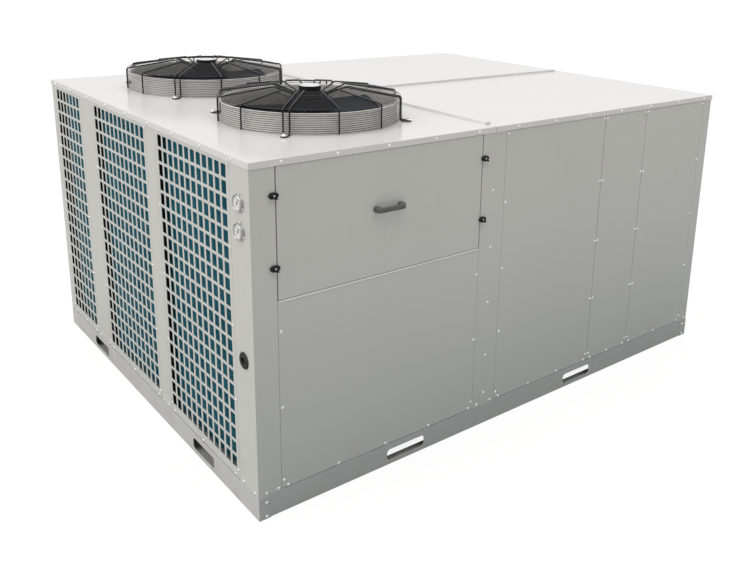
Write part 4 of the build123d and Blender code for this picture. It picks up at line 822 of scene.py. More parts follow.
def solids_of(node: Item) -> list[tuple[Vector, Vector]]:
    """Lowest and highest corner of each separate solid of a CAD node."""
    form = bmesh.new()
    form.from_mesh(node.data)
    bmesh.ops.remove_doubles(form, verts=form.verts, dist=1e-6)
    left = set(form.verts)
    boxes = []
    while left:
        reach = [left.pop()]
        low = reach[0].co.copy()
        high = reach[0].co.copy()
        while reach:
            vert = reach.pop()
            for axis in range(3):
                low[axis] = min(low[axis], vert.co[axis])
                high[axis] = max(high[axis], vert.co[axis])
            for edge in vert.link_edges:
                other = edge.other_vert(vert)
                if other in left:
                    left.remove(other)
                    reach.append(other)
        boxes.append((low, high))
    form.free()
    return boxes


def repeated(form: Mesh, node: Item, level: float) -> Mesh:
    """One upright form over the middle of each solid of a CAD node, at a level in metres."""
    middles = [(low + high) / 2 for low, high in solids_of(node)]
    return merged((form, Matrix.Translation((middle.x, middle.y, level))) for middle in middles)


@dataclass
class Shop:
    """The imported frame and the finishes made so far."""

    frame: dict[str, Any]
    finishes: dict[Slot, Material] = field(default_factory=dict)

    def finish(self, slot: Slot) -> Material:
        """The material of a slot, made when it is first asked for."""
        if slot not in self.finishes:
            self.finishes[slot] = SLOT_FINISHES[slot].make()
        return self.finishes[slot]

    def node(self, name: str) -> Item:
        """A CAD node's object."""
        return self.frame["nodes"][name]

    def dress_frame(self) -> None:
        """Give every CAD node the finish of its slot."""
        for part in self.frame["record"]["subparts"]:
            node = self.node(part["node"])
            material = self.finish(Slot(part["material_slot"]))
            node.data.materials.clear()
            node.data.materials.append(material)
            log.info("dressed %s in %s", part["node"], material.name)

    def add(
        self, name: str, mesh: Mesh, slot: Slot, body: str = "cabinet",
        stands_for: Sequence[str] = (), smooth: float = 35.0, finish: Finish | None = None,
    ) -> Item:
        """Put a finished piece into the scene.

        Args:
            name: Name of the piece.
            mesh: Its mesh, in place.
            slot: The record's slot that it takes its finish from.
            body: The CAD body that it rides on.
            stands_for: CAD nodes that it replaces.
            smooth: Angle in degrees under which faces blend.
            finish: A finish of its own, if the slot's does not fit.

        Returns:
            The piece.
        """
        material = finish.make() if finish else self.finish(slot)
        mesh.name = name
        mesh.materials.clear()
        mesh.materials.append(material)
        mesh.polygons.foreach_set("material_index", [0] * len(mesh.polygons))
        mesh.polygons.foreach_set("use_smooth", [True] * len(mesh.polygons))
        mesh.set_sharp_from_angle(angle=math.radians(smooth))
        piece = placed(name, mesh)
        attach(piece, body)
        if stands_for:
            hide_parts(*stands_for)
        log.info("made %s: %d faces on %s", name, len(mesh.polygons), body)
        return piece


# Sub-assemblies


@dataclass
class ScatteredHeads:
    """One small turned shape, repeated at the places of a CAD node's solids by Geometry Nodes."""

    node: str
    name: str
    profile: Sequence[Pair]
    slot: Slot
    steps: int = 12
    seed: int = 7

    def outward(self, low: Vector, high: Vector, box: tuple[Vector, Vector]) -> Vector:
        """Direction in which a head looks: along its shortest side, away from the cabinet."""
        spans = [high[axis] - low[axis] for axis in range(3)]
        axis = spans.index(min(spans[:2])) if min(spans[:2]) < spans[2] * 0.9 else 2
        middle = (box[0] + box[1]) / 2
        direction = Vector((0.0, 0.0, 0.0))
        direction[axis] = 1.0 if axis == 2 or (low[axis] + high[axis]) / 2 > middle[axis] else -1.0
        return direction

    def recipe(self) -> Recipe:
        """The tree: a head on each point, turned by chance about its own axis."""
        r = Recipe(self.name + "_recipe", {"Head": "Object", "Seed": "Int"})
        facing = r.step("GeometryNodeInputNamedAttribute", {"data_type": "FLOAT_VECTOR"}, {"Name": "outward"})
        aligned = r.step("FunctionNodeAlignRotationToVector", {"axis": "Z"}, {"Vector": facing}, "Rotation")
        angle = r.step(
            "FunctionNodeRandomValue", {"data_type": "FLOAT"}, {3: math.tau, "Seed": r.size("Seed")}, 1,
        )
        spin = r.step("FunctionNodeAxisAngleToRotation", {}, {"Axis": (0.0, 0.0, 1.0), "Angle": angle})
        turned = r.step(
            "FunctionNodeRotateRotation", {"rotation_space": "LOCAL"},
            {"Rotation": aligned, "Rotate By": spin},
        )
        head = r.step("GeometryNodeObjectInfo", {}, {"Object": r.size("Head")}, "Geometry")
        r.close(r.scatter(r.size("Geometry"), head, Rotation=turned))
        return r

    def build(self, shop: Shop) -> None:
        """Make the heads and let them stand for the CAD node."""
        boxes = solids_of(shop.node(self.node))
        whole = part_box(self.node)
        facings = [self.outward(low, high, whole) for low, high in boxes]
        seats = []
        for (low, high), facing in zip(boxes, facings):
            seat = (low + high) / 2
            for axis in range(3):
                if facing[axis]:
                    seat[axis] = low[axis] if facing[axis] > 0 else high[axis]
            seats.append(tuple(seat))
        points = with_vectors(point_mesh(seats), "outward", facings)
        head = placed(self.name + "_head", lathe(self.profile, self.steps))
        mesh = self.recipe().run(points, {"Head": head, "Seed": self.seed})
        bpy.data.objects.remove(head)
        shop.add(self.name, mesh, self.slot, stands_for=(self.node,))


@dataclass
class CondenserCoil:
    """Blue fins on copper tubes, in a zinc frame, with dark seals behind the guards and dark liners of painted
    shade on the guards' far flanges.
    """

    pitch: float = 3.4
    fin: float = 0.7
    plate: float = 3.0
    foot: float = 10.0
    turned: float = 12.0
    sheet: float = 1.5
    channel_sheet: float = 2.0
    tube_radius: float = 4.5
    tube_levels: int = 30
    seal_depth: Pair = (28.0, 31.0)
    seal_lap: float = 8.0
    # Sizes of the dark liners that paint shade on the guards' far flanges.
    liner_depth: tuple[float, float, float] = (2.2, 22.0, 24.7)
    liner_foot: float = 8.0
    liner_head: float = 24.0
    dark_sheet: float = 2.2
    dark_sheet_gap: float = 0.3
    seal_short: float = 2.0
    tube_start: float = 1.4
    tube_share: float = 0.8
    edge: float = 0.5
    flange_sheet: float = 2.0
    lip: float = 24.0

    @staticmethod
    def row_recipe(name: str, kinds: dict[str, str], form: str, sizes: dict[str, Any], turn: Point) -> Recipe:
        """The tree: one form repeated along a straight row.

        Args:
            name: Name of the tree.
            kinds: Kind of each input that sizes the form.
            form: Type of the node that makes the form.
            sizes: The form's plain values, and the input's name for those that are inputs.
            turn: How the form is turned.

        Returns:
            The tree.
        """
        row = {"Count": "Int", "Start": "Vector", "Step": "Vector"}
        r = Recipe(name, {**row, **kinds})
        line = r.step(
            "GeometryNodeMeshLine", {"mode": "OFFSET"},
            {"Count": r.size("Count"), "Start Location": r.size("Start"), "Offset": r.size("Step")},
        )
        values = {key: r.size(value) if isinstance(value, str) else value for key, value in sizes.items()}
        r.close(r.scatter(line, r.step(form, {}, values, "Mesh"), Rotation=turn))
        return r

    def build(self, shop: Shop) -> None:
        """Make the coil, its seals and its dark liners of painted shade."""
        low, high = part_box("condenser_coil")
        middle = (low + high) / 2
        plate, foot = self.plate * MM, self.foot * MM
        span = high.y - low.y - 2 * plate
        count = int(span / (self.pitch * MM)) - 1
        start = middle.y - (count - 1) * self.pitch * MM / 2
        height = high.z - low.z - foot
        fin_recipe = self.row_recipe(
            "coil_fins_recipe", {"Plate Size": "Vector"}, "GeometryNodeMeshCube",
            {"Size": "Plate Size"}, ZERO,
        )
        tube_recipe = self.row_recipe(
            "coil_tubes_recipe", {"Radius": "Float", "Length": "Float"},
            "GeometryNodeMeshCylinder", {"Vertices": 10, "Radius": "Radius", "Depth": "Length"},
            (math.pi / 2, 0.0, 0.0),
        )
        fins = fin_recipe.run(point_mesh([ZERO]), {
            "Count": count,
            "Start": (middle.x, start, high.z - height / 2),
            "Step": (0.0, self.pitch * MM, 0.0),
            "Plate Size": (high.x - low.x, self.fin * MM, height),
        })
        shop.add("coil_fins", fins, Slot.FINS, stands_for=("condenser_coil",))
        tubes = tube_recipe.run(point_mesh([ZERO]), {
            "Count": self.tube_levels,
            "Start": (middle.x, middle.y, low.z + foot * self.tube_start),
            "Step": (0.0, 0.0, (height - foot * self.tube_share) / (self.tube_levels - 1)),
            "Radius": self.tube_radius * MM,
            "Length": span + plate,
        })
        shop.add("coil_tubes", tubes, Slot.COPPER)
        self.build_frame(shop, low, high)
        self.build_seals_and_shade_liners(shop, low, high)

    def build_frame(self, shop: Shop, low: Vector, high: Vector) -> None:
        """Make the end plates with turned flanges and the foot channel."""
        plate, foot = self.plate, self.foot
        depth = (high.x - low.x) / MM
        wide = (high.y - low.y) / MM
        tall = (high.z - low.z) / MM
        turned, sheet = self.turned, self.sheet
        inner = depth - sheet
        side = [
            (0, 0), (depth, 0), (depth, turned), (inner, turned),
            (inner, plate), (sheet, plate), (sheet, turned), (0, turned),
        ]
        back = [(x, wide - y) for x, y in side]
        base = Matrix.Translation(low)
        along = base @ Matrix.Translation((0, wide * MM, 0)) @ Matrix.Rotation(math.pi / 2, 4, "X")
        top = foot - self.channel_sheet
        channel = [
            (0, 0), (sheet, 0), (sheet, top), (inner, top), (inner, 0), (depth, 0), (depth, foot), (0, foot),
        ]
        parts = [
            (prism(side, 0, tall, self.edge), base),
            (prism(back, 0, tall, self.edge), base),
            (prism(channel, plate, wide - plate, self.edge), along),
        ]
        shop.add("coil_frame", merged(parts), Slot.GALVANISED)

    def liner(self, face: float, edge: float, low: float, high: float) -> tuple[Mesh, Matrix]:
        """Painted shade: a dark strip on the inner side of a guard's far flange and over the post's lip beside
        it.

        Args:
            face: Outer plane of the guard, in metres.
            edge: The guard's far edge, in metres.
            low: Lower end, in metres.
            high: Upper end, in metres.

        Returns:
            The strip and its place.
        """
        near, bend, far = self.liner_depth
        flange = -self.flange_sheet - self.dark_sheet_gap
        inner = flange - self.dark_sheet
        outline = [
            (near, flange), (near, inner), (bend, inner), (bend, -self.lip), (far, -self.lip), (far, flange),
        ]
        low, high = low / MM + self.liner_foot, high / MM - self.liner_head
        return prism(outline, low, high), Matrix.Translation((face, edge, 0.0))

    def build_seals_and_shade_liners(self, shop: Shop, low: Vector, high: Vector) -> None:
        """Make the dark foam strips that close the coil off behind the posts between the guards, and the dark
        liners of painted shade on the guards' far flanges.
        """
        guards = sorted(solids_of(shop.node("coil_guards")), key=lambda corners: corners[0].y)
        face = guards[0][0].x
        near, far = (face + depth * MM for depth in self.seal_depth)
        stretches = [
            (first[1].y, second[0].y + self.seal_lap * MM) for first, second in zip(guards, guards[1:])
        ]
        stretches.append((high.y, guards[-1][1].y))
        # Painted shade: a dark liner on each guard's far flange, where the coil's edge lies in shade.
        parts = [self.liner(face, corners[1].y, low.z, high.z) for corners in guards]
        bottom, top = low.z / MM + self.seal_short, high.z / MM - self.seal_short
        for start, end in stretches:
            outline = [
                (near / MM, start / MM), (far / MM, start / MM), (far / MM, end / MM), (near / MM, end / MM),
            ]
            parts.append((prism(outline, bottom, top, 0.6), Matrix.Identity(4)))
        # One dark finish for the foam seals and for the liners of painted shade.
        dark_sheet = Moulded("seal_foam_and_painted_shade", (0.006, 0.006, 0.006), 0.95)
        shop.add("coil_seals", merged(parts), Slot.RUBBER, finish=dark_sheet)


@dataclass
class FanGuards:
    """Wire guards over the two fans: bent rods over rings of thinner wire."""

    hub: Pair = (79.0, 103.0)
    crest: Pair = (158.0, 138.0)
    shoulder: Pair = (390.0, 100.0)
    foot_reach: float = 437.0
    pair_gap: float = 26.0
    rod: float = 3.4
    wire: float = 1.15
    side_rings: int = 12
    top_rings: int = 22
    lowest_ring: float = 7.0
    hub_lift: float = 0.4
    bend: float = 11.0
    leg_angles: tuple[float, ...] = (45.0, 135.0, 225.0, 315.0)
    rod_angles: tuple[float, ...] = (15.0, 75.0, 105.0, 165.0, 195.0, 255.0, 285.0, 345.0)

    def crest_level(self, radius: float) -> float:
        """Height of the guard's top surface at a radius between its crest and its shoulder."""
        share = (radius - self.crest[0]) / (self.shoulder[0] - self.crest[0])
        return self.crest[1] + share * (self.shoulder[1] - self.crest[1])

    def ring_places(self) -> list[Pair]:
        """Radius and height of each thin ring."""
        radius, top = self.shoulder
        pitch = (top - self.lowest_ring) / (self.side_rings - 1)
        places = [(radius - self.wire, self.lowest_ring + index * pitch) for index in range(self.side_rings)]
        inward = (radius - self.crest[0]) / (self.top_rings + 1)
        for index in range(1, self.top_rings + 1):
            at = radius - index * inward
            places.append((at, self.crest_level(at) - self.wire))
        return places

    def ring_recipe(self) -> Recipe:
        """The tree: a wire ring for each point, as wide as the point says."""
        r = Recipe("guard_rings_recipe", {"Wire Radius": "Float", "Steps": "Int"})
        girth = r.step("GeometryNodeInputNamedAttribute", {"data_type": "FLOAT_VECTOR"}, {"Name": "girth"})
        rings = r.scatter(r.size("Geometry"), r.circle(r.size("Steps"), 1.0), Scale=girth)
        paths = r.step("GeometryNodeRealizeInstances", {}, {"Geometry": rings})
        section = r.circle(6, r.size("Wire Radius"))
        r.close(r.step("GeometryNodeCurveToMesh", {}, {"Curve": paths, "Profile Curve": section}))
        return r

    def rod_recipe(self) -> Recipe:
        """The tree: rods that follow edge paths, with rounded bends."""
        r = Recipe("guard_rods_recipe", {"Rod Radius": "Float", "Bend Radius": "Float"})
        paths = r.step("GeometryNodeMeshToCurve", {}, {"Mesh": r.size("Geometry")})
        values = {"Curve": paths, "Count": 5, "Radius": r.size("Bend Radius"), "Limit Radius": True}
        bent = r.step("GeometryNodeFilletCurve", {"mode": "POLY"}, values)
        values = {"Curve": bent, "Profile Curve": r.circle(10, r.size("Rod Radius")), "Fill Caps": True}
        r.close(r.step("GeometryNodeCurveToMesh", {}, values))
        return r

    def rod_paths(self, centre: Vector) -> tuple[list[Point], list[tuple[int, int]]]:
        """Points and edges of all the rods of one guard.

        Args:
            centre: The fan's axis at roof level, in metres.

        Returns:
            The points in metres and the pairs that are joined.
        """
        rise = self.rod
        crown = [(self.hub[0], self.hub[1] + rise), self.crest]
        shoulder = [(self.shoulder[0] + rise, self.shoulder[1] + rise)]
        points: list[Point] = []
        edges: list[tuple[int, int]] = []

        def lay(path: Sequence[tuple[float, float, float]], angle: float) -> None:
            """Add one path of radius, sideways shift and height."""
            turn = Matrix.Rotation(math.radians(angle), 4, "Z")
            first = len(points)
            for radius, shift, level in path:
                spot = centre + turn @ Vector((radius * MM, shift * MM, level * MM))
                points.append(tuple(spot))
            edges.extend((index, index + 1) for index in range(first, len(points) - 1))

        for angle in self.rod_angles:
            lay([(r, 0.0, h) for r, h in crown + shoulder + [(self.shoulder[0] + rise, rise)]], angle)
        half = self.pair_gap / 2
        for angle in self.leg_angles:
            one = [(r, -half, h) for r, h in crown + shoulder]
            one += [(self.shoulder[0] + rise, -half, rise), (self.foot_reach, -half, rise)]
            other = [(r, half, h) for r, _, h in reversed(one)]
            lay(one + other, angle)
        return points, edges

    def build(self, shop: Shop) -> None:
        """Make the rings and rods of both guards."""
        boxes = solids_of(shop.node("fan_guards"))
        centres = [Vector((*((low + high) / 2).xy, low.z)) for low, high in boxes]
        recipe = self.ring_recipe()
        hub = [(self.hub[0], self.hub[1] + self.hub_lift)]
        kinds = (("guard_rings", self.ring_places(), self.wire, 96), ("guard_hub_rings", hub, self.rod, 64))
        for name, places, wire, steps in kinds:
            spots = [(at.x, at.y, at.z + level * MM) for at in centres for _, level in places]
            girths = [(radius * MM, radius * MM, 1.0) for _ in centres for radius, _ in places]
            points = with_vectors(point_mesh(spots), "girth", girths)
            mesh = recipe.run(points, {"Wire Radius": wire * MM, "Steps": steps})
            shop.add(name, mesh, Slot.GUARD, smooth=80.0)
        rod_points: list[Point] = []
        rod_edges: list[tuple[int, int]] = []
        for centre in centres:
            points, edges = self.rod_paths(centre)
            offset = len(rod_points)
            rod_points += points
            rod_edges += [(a + offset, b + offset) for a, b in edges]
        values = {"Rod Radius": self.rod * MM, "Bend Radius": self.bend * MM}
        mesh = self.rod_recipe().run(point_mesh(rod_points, rod_edges), values)
        shop.add("guard_rods", mesh, Slot.GUARD, stands_for=("fan_guards",), smooth=60.0)


@dataclass
class FanNozzles:
    """Wall rings of the fans, with a rolled lip."""

    radius: float = 372.0
    sheet: float = 2.0
    lip: float = 4.5
    rise: float = 85.0
    drop: float = 58.0
    flange: float = 9.0

    def profile(self) -> list[Pair]:
        """Section of the ring, from its inner foot."""
        inner, outer = self.radius, self.radius + self.sheet
        top = self.rise
        roll = [
            (inner + self.lip * (1 - math.cos(turn)), top - self.lip + self.lip * math.sin(turn))
            for turn in (math.radians(step) for step in range(0, 226, 25))
        ]
        foot = [
            (outer, 4.0), (outer + 1.5, 2.4), (outer + self.flange, 2.0),
            (outer + self.flange, 0.2), (outer, 0.2),
        ]
        return [(inner, -self.drop)] + roll + [(outer, top - 2 * self.lip)] + foot + [(outer, -self.drop)]

    def build(self, shop: Shop) -> None:
        """Make both rings."""
        form = lathe(self.profile(), 128, ring=True)
        node = shop.node("fan_nozzles")
        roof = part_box("fan_nozzles")[0].z + self.drop * MM
        shop.add(
            "fan_rings", repeated(form, node, roof), Slot.GALVANISED, stands_for=("fan_nozzles",), smooth=30.0,
            finish=PowderCoat("fan_ring_coat", (0.86, 0.85, 0.82), roughness=0.38, gloss=0.2, dust=0.4),
        )


@dataclass
class Gauges:
    """Two pressure gauges: chrome case with lugs, white dial with a scale, clear pane."""

    floor: float = 8.0
    bezel: float = 31.0
    flange: float = 35.0
    scale_radius: float = 24.0
    sweep: float = 270.0
    marks: int = 31
    digit_height: float = 4.6
    numbers: int = 7
    number_step: int = 5
    number_inset: float = 6.0
    ink: float = 0.86
    mark_lift: float = 0.84
    mark_size: Point = (0.00035, 0.0019, 0.00008)

    def case(self) -> Mesh:
        """Turned case, flange and pointer pin."""
        profile = [
            (0, 10.4), (1.2, 10.4), (1.2, self.floor), (27.3, self.floor),
            (27.6, 11.6), (28.4, 12.8), (29.5, 12.9),
            (30.5, 11.8), (self.bezel, 9.0), (self.bezel, 3.0),
            (32.6, 2.2), (self.flange, 1.8), (self.flange, 0.0),
            (27.0, 0.0), (27.0, -24.0), (25.0, -26.0), (0, -26.0),
        ]
        return lathe(profile, 72)

    def lugs(self) -> Mesh:
        """Three screws on the flange."""
        screw = lathe(
            [(0, 4.2), (1.0, 4.4), (2.2, 4.1), (3.0, 3.2), (3.2, 1.9), (3.9, 1.7), (3.9, 0.6), (0, 0.6)], 16,
        )
        turns = (math.radians(angle) for angle in (90.0, 210.0, 330.0))
        reach = (self.bezel + 1.6) * MM
        return merged(
            (screw, Matrix.Translation((reach * math.cos(t), reach * math.sin(t), 0.001))) for t in turns
        )

    def mark_recipe(self) -> Recipe:
        """The tree: scale marks around the dial, every fifth one longer."""
        kinds = {"Count": "Int", **dict.fromkeys(("Sweep", "Radius", "Level"), "Float")}
        r = Recipe("dial_marks_recipe", kinds)
        line = r.step(
            "GeometryNodeMeshLine", {"mode": "OFFSET"}, {"Count": r.size("Count"), "Offset": ZERO},
        )
        index = r.step("GeometryNodeInputIndex", {}, {})
        share = r.math("DIVIDE", index, r.math("SUBTRACT", r.size("Count"), 1.0))
        turn = r.math("MULTIPLY", r.math("SUBTRACT", share, 0.5), r.size("Sweep"))
        around = r.step("ShaderNodeCombineXYZ", {}, {"Z": turn})
        major = r.math("LESS_THAN", r.math("MODULO", index, float(self.number_step)), 0.5)
        length = r.math("MULTIPLY_ADD", major, 0.9, 1.0)
        scale = r.step("ShaderNodeCombineXYZ", {}, {"X": length, "Y": length, "Z": 1.0})
        bar = r.step("GeometryNodeMeshCube", {}, {"Size": self.mark_size})
        spot = r.step("ShaderNodeCombineXYZ", {}, {"X": 0.0, "Y": r.size("Radius"), "Z": r.size("Level")})
        values = {"Instances": r.scatter(line, bar, Scale=scale), "Translation": spot, "Local Space": False}
        moved = r.step("GeometryNodeTranslateInstances", {}, values)
        values = {"Instances": moved, "Rotation": around, "Pivot Point": ZERO, "Local Space": False}
        r.close(r.step("GeometryNodeRotateInstances", {}, values))
        return r

    def digits(self, frame: Matrix) -> list[tuple[Mesh, Matrix]]:
        """The dial's numbers, placed along its scale."""
        made = []
        reach = (self.scale_radius - self.number_inset) * MM
        for index in range(self.numbers):
            share = index / (self.numbers - 1) - 0.5
            turn = math.radians(-share * self.sweep)
            curve = bpy.data.curves.new("digit", "FONT")
            curve.body = str(index * self.number_step)
            curve.size = self.digit_height * MM
            curve.extrude = 0.04 * MM
            curve.align_x = "CENTER"
            curve.align_y = "CENTER"
            spot = (-reach * math.sin(turn), reach * math.cos(turn), (self.floor + self.ink) * MM)
            made.append((baked(placed("digit", curve)), frame @ Matrix.Translation(spot)))
        return made

    def band(self, start: float, end: float, steps: int = 24) -> Mesh:
        """A flat arc beside the scale, between two shares of its sweep."""
        inner, outer = self.scale_radius + 1.6, self.scale_radius + 2.8
        turns = [
            math.radians(90 + self.sweep * (0.5 - start - (end - start) * i / steps))
            for i in range(steps + 1)
        ]
        outline = [(outer * math.cos(t), outer * math.sin(t)) for t in turns]
        outline += [(inner * math.cos(t), inner * math.sin(t)) for t in reversed(turns)]
        return prism(outline, self.floor + 0.78, self.floor + 0.88)

    def build(self, shop: Shop) -> None:
        """Make both gauges."""
        face = shop.node("corner_posts").bound_box[0][0]
        frames = [Wall.COIL.over(low, high, face) for low, high in solids_of(shop.node("gauge_cases"))]
        dial = lathe([(1.5, 8.1), (1.5, 8.8), (27.2, 8.8), (27.2, 8.1)], 64, ring=True)
        pane = lathe([(0, 12.0), (16, 11.8), (26, 11.2), (27.3, 10.9), (27.3, 10.7), (0, 10.7)], 64)
        marks = self.mark_recipe().run(point_mesh([ZERO]), {
            "Count": self.marks, "Sweep": math.radians(self.sweep), "Radius": self.scale_radius * MM,
            "Level": (self.floor + self.mark_lift) * MM,
        })
        for name, form, slot, nodes in (
            ("gauge_housings", self.case(), Slot.GAUGE, ("gauge_cases",)),
            ("gauge_flange_screws", self.lugs(), Slot.ZINC, ()),
            ("gauge_faces", dial, Slot.DIAL, ("gauge_dials",)),
            ("gauge_panes", pane, Slot.GLASS, ("gauge_glasses",)),
            ("gauge_marks", marks, Slot.INK, ()),
        ):
            shop.add(name, merged((form, f) for f in frames), slot, stands_for=nodes)
        numbers = [number for f in frames for number in self.digits(f)]
        shop.add("gauge_numbers", merged(numbers), Slot.INK)
        green = PrintedFace("scale_green", (0.03, 0.30, 0.10), (0.05, 0.26, 0.10))
        red = PrintedFace("scale_red", (0.45, 0.02, 0.02), (0.36, 0.04, 0.03))
        shop.add(
            "gauge_green_bands", merged((self.band(0.25, 0.62), f) for f in frames), Slot.DIAL, finish=green,
        )
        shop.add("gauge_red_bands", merged((self.band(0.80, 1.0), f) for f in frames), Slot.DIAL, finish=red)


@dataclass
class TurnButtons:
    """The door's four turn-buttons: an oval plate, a hub with a screw and a thumb tab."""

    length: float = 40.0
    width: float = 24.0
    lift: float = 1.0
    thickness: float = 9.0
    tab: float = 14.0
    tab_drop: float = 7.5
    spindle: float = 10.0
    nodes: tuple[str, ...] = (
        "latch_upper_left", "latch_lower_left", "latch_upper_right", "latch_lower_right",
    )
    bodies: tuple[str, ...] = (
        "upper_left_latch", "lower_left_latch", "upper_right_latch", "lower_right_latch",
    )

    def plate(self) -> Mesh:
        """Oval plate with a raised hub, a spindle and a tab across it."""
        top = self.lift + self.thickness
        oval = prism(ellipse(self.length, self.width), self.lift, top - 1.5, 2.2)
        hub = lathe([
            (0, top - 1.0), (3.6, top - 1.0), (3.9, top + 1.6),
            (5.0, top + 2.4), (7.6, top + 1.8), (9.2, top - 0.5),
            (9.4, top - 3), (0, top - 3),
        ], 32)
        spindle = lathe([(0, -10), (5, -10), (5, 0), (10, 0.1), (10, 2), (0, 2)], 24)
        outline = [(-14, top - 3), (-13, top + 1.5), (-5, top + 2), (-1, top + 8), (1, top + self.tab - 1),
                   (4, top + self.tab), (7, top + self.tab - 1), (8, top + 5), (12, top + 2), (14, top - 3)]
        tab = prism(outline, -3.0, 3.0, 1.2)
        upright = Matrix.Rotation(math.pi / 2, 4, "X")
        same = Matrix.Identity(4)
        lowered = Matrix.Translation((0.0, -self.tab_drop * MM, 0.0))
        return merged([(oval, same), (hub, same), (spindle, same), (tab, lowered @ upright)])

    def build(self, shop: Shop) -> None:
        """Make the four buttons, each on its own body."""
        form = self.plate()
        screw = lathe([(0, 0.4), (1.0, 1.6), (2.7, 1.5), (3.6, 0.8), (3.6, -1.2), (0, -1.2)], 20)
        for node, body in zip(self.nodes, self.bodies):
            low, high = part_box(node)
            frame = Wall.SERVICE.over(low, high, high.y - self.spindle * MM)
            shop.add(node + "_button", merged([(form, frame)]), Slot.BLACK_PLASTIC, body, (node,), 40.0)
            lift = frame @ Matrix.Translation((0, 0, (self.lift + self.thickness + 0.4) * MM))
            shop.add(node + "_screw", merged([(screw, lift)]), Slot.ZINC, body)


@dataclass
class DoorHandle:
    """Moulded bridge handle of the door."""

    half: float = 70.0
    reach: float = 34.0
    half_height: float = 10.0

    def build(self, shop: Shop) -> None:
        """Make the handle with rounded edges and two foot plates."""
        low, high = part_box("door_handle")
        frame = Wall.SERVICE.over(low, high, high.y)
        h, r = self.half, self.reach
        outline = [(-h, 2), (-h, 19), (-h + 10, r), (h - 10, r), (h, 19), (h, 2), (h - 21, 2), (h - 21, 12),
                   (h - 27, r - 13), (-h + 27, r - 13), (-h + 21, 12), (-h + 21, 2)]
        upright = Matrix.Rotation(math.pi / 2, 4, "X")
        grip = prism(outline, -self.half_height, self.half_height, 2.8)
        pads = [
            (
                prism(ellipse(24, 21, 28, 4.0), 0, 3, 0.8),
                frame @ Matrix.Translation((side * (h - 11.5) * MM, 0, 0)),
            )
            for side in (-1, 1)
        ]
        shop.add("handle_grip", merged([(grip, frame @ upright)]), Slot.HANDLE, stands_for=("door_handle",))
        shop.add("handle_pads", merged(pads), Slot.BLACK_PLASTIC)


@dataclass
class CableEntry:
    """Rubber bush of the cable entry."""

    bore: float = 14.0

    def build(self, shop: Shop) -> None:
        """Make the bush."""
        low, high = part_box("cable_grommet")
        face = shop.node("corner_posts").bound_box[0][0]
        frame = Wall.COIL.over(low, high, face)
        profile = [
            (self.bore, -6), (self.bore, 5.5), (15.5, 7.2), (19, 7.8),
            (21, 7.0), (22.5, 5.8), (24.5, 6.6), (28.5, 6.2),
            (31.8, 4.2), (33, 1.8), (33, 0), (24, 0), (24, -2), (31, -2), (31, -6),
        ]
        bush = lathe(profile, 64, ring=True)
        shop.add("cable_bush", merged([(bush, frame)]), Slot.RUBBER, stands_for=("cable_grommet",))


@dataclass
class PanelHem:
    """Rolled hem along the top edge of the panel under the door, painted paler than the cabinet as a painted
    highlight.
    """

    radius: float = 2.8
    inset: float = 6.0

    def build(self, shop: Shop) -> None:
        """Make the hem."""
        low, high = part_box("compressor_panel")
        turns = [math.pi * index / 10 for index in range(11)]
        outline = [(self.radius * math.cos(turn), self.radius * math.sin(turn)) for turn in turns]
        length = (high.x - low.x) / MM - 2 * self.inset
        roll = prism(outline, 0, length)
        level = high.z - self.radius * MM
        place = Matrix.Translation((low.x + self.inset * MM, low.y, level)) @ Matrix((
            (0, 0, 1, 0), (0, -1, 0, 0), (1, 0, 0, 0), (0, 0, 0, 1),
        ))
        # Painted highlight: the hem is paler than the cabinet paint, standing in for light caught on the
        # rolled edge.
        pale = PowderCoat("hem_painted_highlight_coat", (0.86, 0.87, 0.86), gloss=0.4, dust=0.1, painted_shade=0.0)
        shop.add("panel_hem", merged([(roll, place)]), Slot.CABINET, finish=pale)


@dataclass
class MotorBadges:
    """Bare metal discs on the fan motors' caps."""

    radius: float = 45.0
    seat: float = 138.0

    def build(self, shop: Shop) -> None:
        """Make both discs."""
        r, z = self.radius, self.seat
        profile = [
            (0, z + 1.2), (12, z + 1.2), (13, z + 0.6), (r - 4, z + 0.6),
            (r - 2, z + 1.4), (r, z + 0.8), (r, z), (0, z),
        ]
        form = lathe(profile, 64)
        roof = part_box("fan_deck")[1].z
        shop.add("motor_cap_discs", repeated(form, shop.node("fan_motors"), roof), Slot.ZINC)


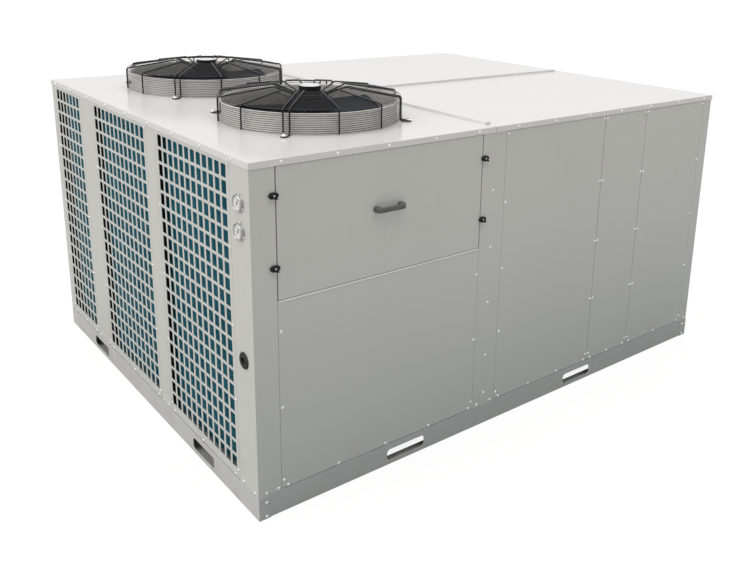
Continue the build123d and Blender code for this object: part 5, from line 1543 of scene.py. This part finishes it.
@dataclass
class Studio:
    """Pale floor, soft lights and the camera."""

    camera_place: Point = (-2.641, -3.5502, 2.0815)
    camera_turn: Point = (74.5961, -1.4429, -39.1626)
    lens: float = 40.787
    sensor: float = 36.0
    shift: Pair = (-0.0775, -0.1405)
    floor_radius: float = 60.0
    sky: float = 0.41
    mirrored_sky: float = 0.95
    backdrop: float = 1.13
    floor_glow: float = 0.80
    top_light: float = 2.0
    key_light: float = 1.08
    light_colour: Colour = (1.0, 0.98, 0.95)

    def build_camera(self) -> None:
        """Place the camera."""
        data = bpy.data.cameras.new("camera")
        data.sensor_width = self.sensor
        data.lens = self.lens
        data.shift_x, data.shift_y = self.shift
        data.clip_end = 200.0
        data.dof.use_dof = False
        camera = placed("camera", data)
        camera.location = self.camera_place
        camera.rotation_euler = [math.radians(angle) for angle in self.camera_turn]
        bpy.context.scene.camera = camera

    def build_floor(self) -> None:
        """Lay the floor, just under the base rails."""
        form = bmesh.new()
        bmesh.ops.create_circle(form, cap_ends=True, segments=96, radius=self.floor_radius)
        mesh = poured(form, "studio_floor")
        s = Shade("studio_floor_paint")
        tint = s.mix(s.noise(0.8, 3.0), (0.54, 0.54, 0.54), (0.56, 0.56, 0.56))
        s.finish(Base_Color=tint, Roughness=0.9, Specular_IOR_Level=0.1)
        mesh.materials.append(s.glow_when_seen(self.floor_glow, self.backdrop))
        placed("studio_floor", mesh)

    def sun(self, name: str, strength: float, spread: float, toward: Point) -> None:
        """One soft distant light.

        Args:
            name: Name of the light.
            strength: Its strength.
            spread: Width of its disc, in degrees.
            toward: Direction from the object to the light.
        """
        data = bpy.data.lights.new(name, "SUN")
        data.energy = strength
        data.color = self.light_colour
        data.angle = math.radians(spread)
        light = placed(name, data)
        light.rotation_mode = "QUATERNION"
        light.rotation_quaternion = Vector(toward).to_track_quat("Z", "Y")

    @staticmethod
    def ray_level(tree: bpy.types.NodeTree, low: float, high: float) -> bpy.types.Node:
        """A node that turns a kind of ray, 0 or 1, into one of two strengths."""
        level = tree.nodes.new("ShaderNodeMapRange")
        level.inputs["To Min"].default_value = low
        level.inputs["To Max"].default_value = high
        return level

    def build_sky(self) -> None:
        """Dim even sky that looks white behind the object."""
        world = bpy.data.worlds.new("studio_sky")
        world.use_nodes = True
        tree = world.node_tree
        tree.nodes.clear()
        seen = tree.nodes.new("ShaderNodeLightPath")
        mirrored = self.ray_level(tree, self.sky, self.mirrored_sky)
        tree.links.new(seen.outputs["Is Glossy Ray"], mirrored.inputs["Value"])
        level = self.ray_level(tree, self.sky, self.backdrop)
        tree.links.new(seen.outputs["Is Camera Ray"], level.inputs["Value"])
        tree.links.new(mirrored.outputs["Result"], level.inputs["To Min"])
        background = tree.nodes.new("ShaderNodeBackground")
        output = tree.nodes.new("ShaderNodeOutputWorld")
        tree.links.new(level.outputs["Result"], background.inputs["Strength"])
        tree.links.new(background.outputs["Background"], output.inputs["Surface"])
        bpy.context.scene.world = world

    def build(self) -> None:
        """Make the whole studio."""
        bpy.context.scene.view_settings.view_transform = "Standard"
        self.build_camera()
        self.build_floor()
        self.build_sky()
        self.sun("top_light", self.top_light, 80.0, (0.05, 0.0, 1.0))
        self.sun("key_light", self.key_light, 50.0, (-0.85, 0.10, 0.55))


SCREW_PROFILE = (
    (0.0, 3.1), (1.5, 4.1), (3.2, 4.2), (4.6, 3.6), (5.2, 2.4),
    (5.4, 1.3), (6.9, 1.0), (7.0, 0.0), (0.0, 0.0),
)
FOOT_BOLT_PROFILE = (
    (0.0, 8.2), (3.4, 8.6), (6.2, 7.6), (7.2, 5.6), (7.4, 3.0),
    (9.0, 2.6), (13.2, 2.0), (14.0, 1.2), (14.0, 0.0), (0.0, 0.0),
)


def main() -> None:
    """Build the visual model."""
    logging.basicConfig(level=logging.INFO, format="%(name)s: %(message)s")
    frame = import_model()
    shop = Shop(frame)
    Studio().build()
    shop.dress_frame()
    ScatteredHeads("panel_screws", "screw_heads", SCREW_PROFILE, Slot.ZINC).build(shop)
    ScatteredHeads("guard_bolts", "foot_bolts", FOOT_BOLT_PROFILE, Slot.ZINC, steps=24).build(shop)
    CondenserCoil().build(shop)
    FanGuards().build(shop)
    FanNozzles().build(shop)
    Gauges().build(shop)
    TurnButtons().build(shop)
    DoorHandle().build(shop)
    CableEntry().build(shop)
    PanelHem().build(shop)
    MotorBadges().build(shop)


if __name__ == "__main__":
    main()
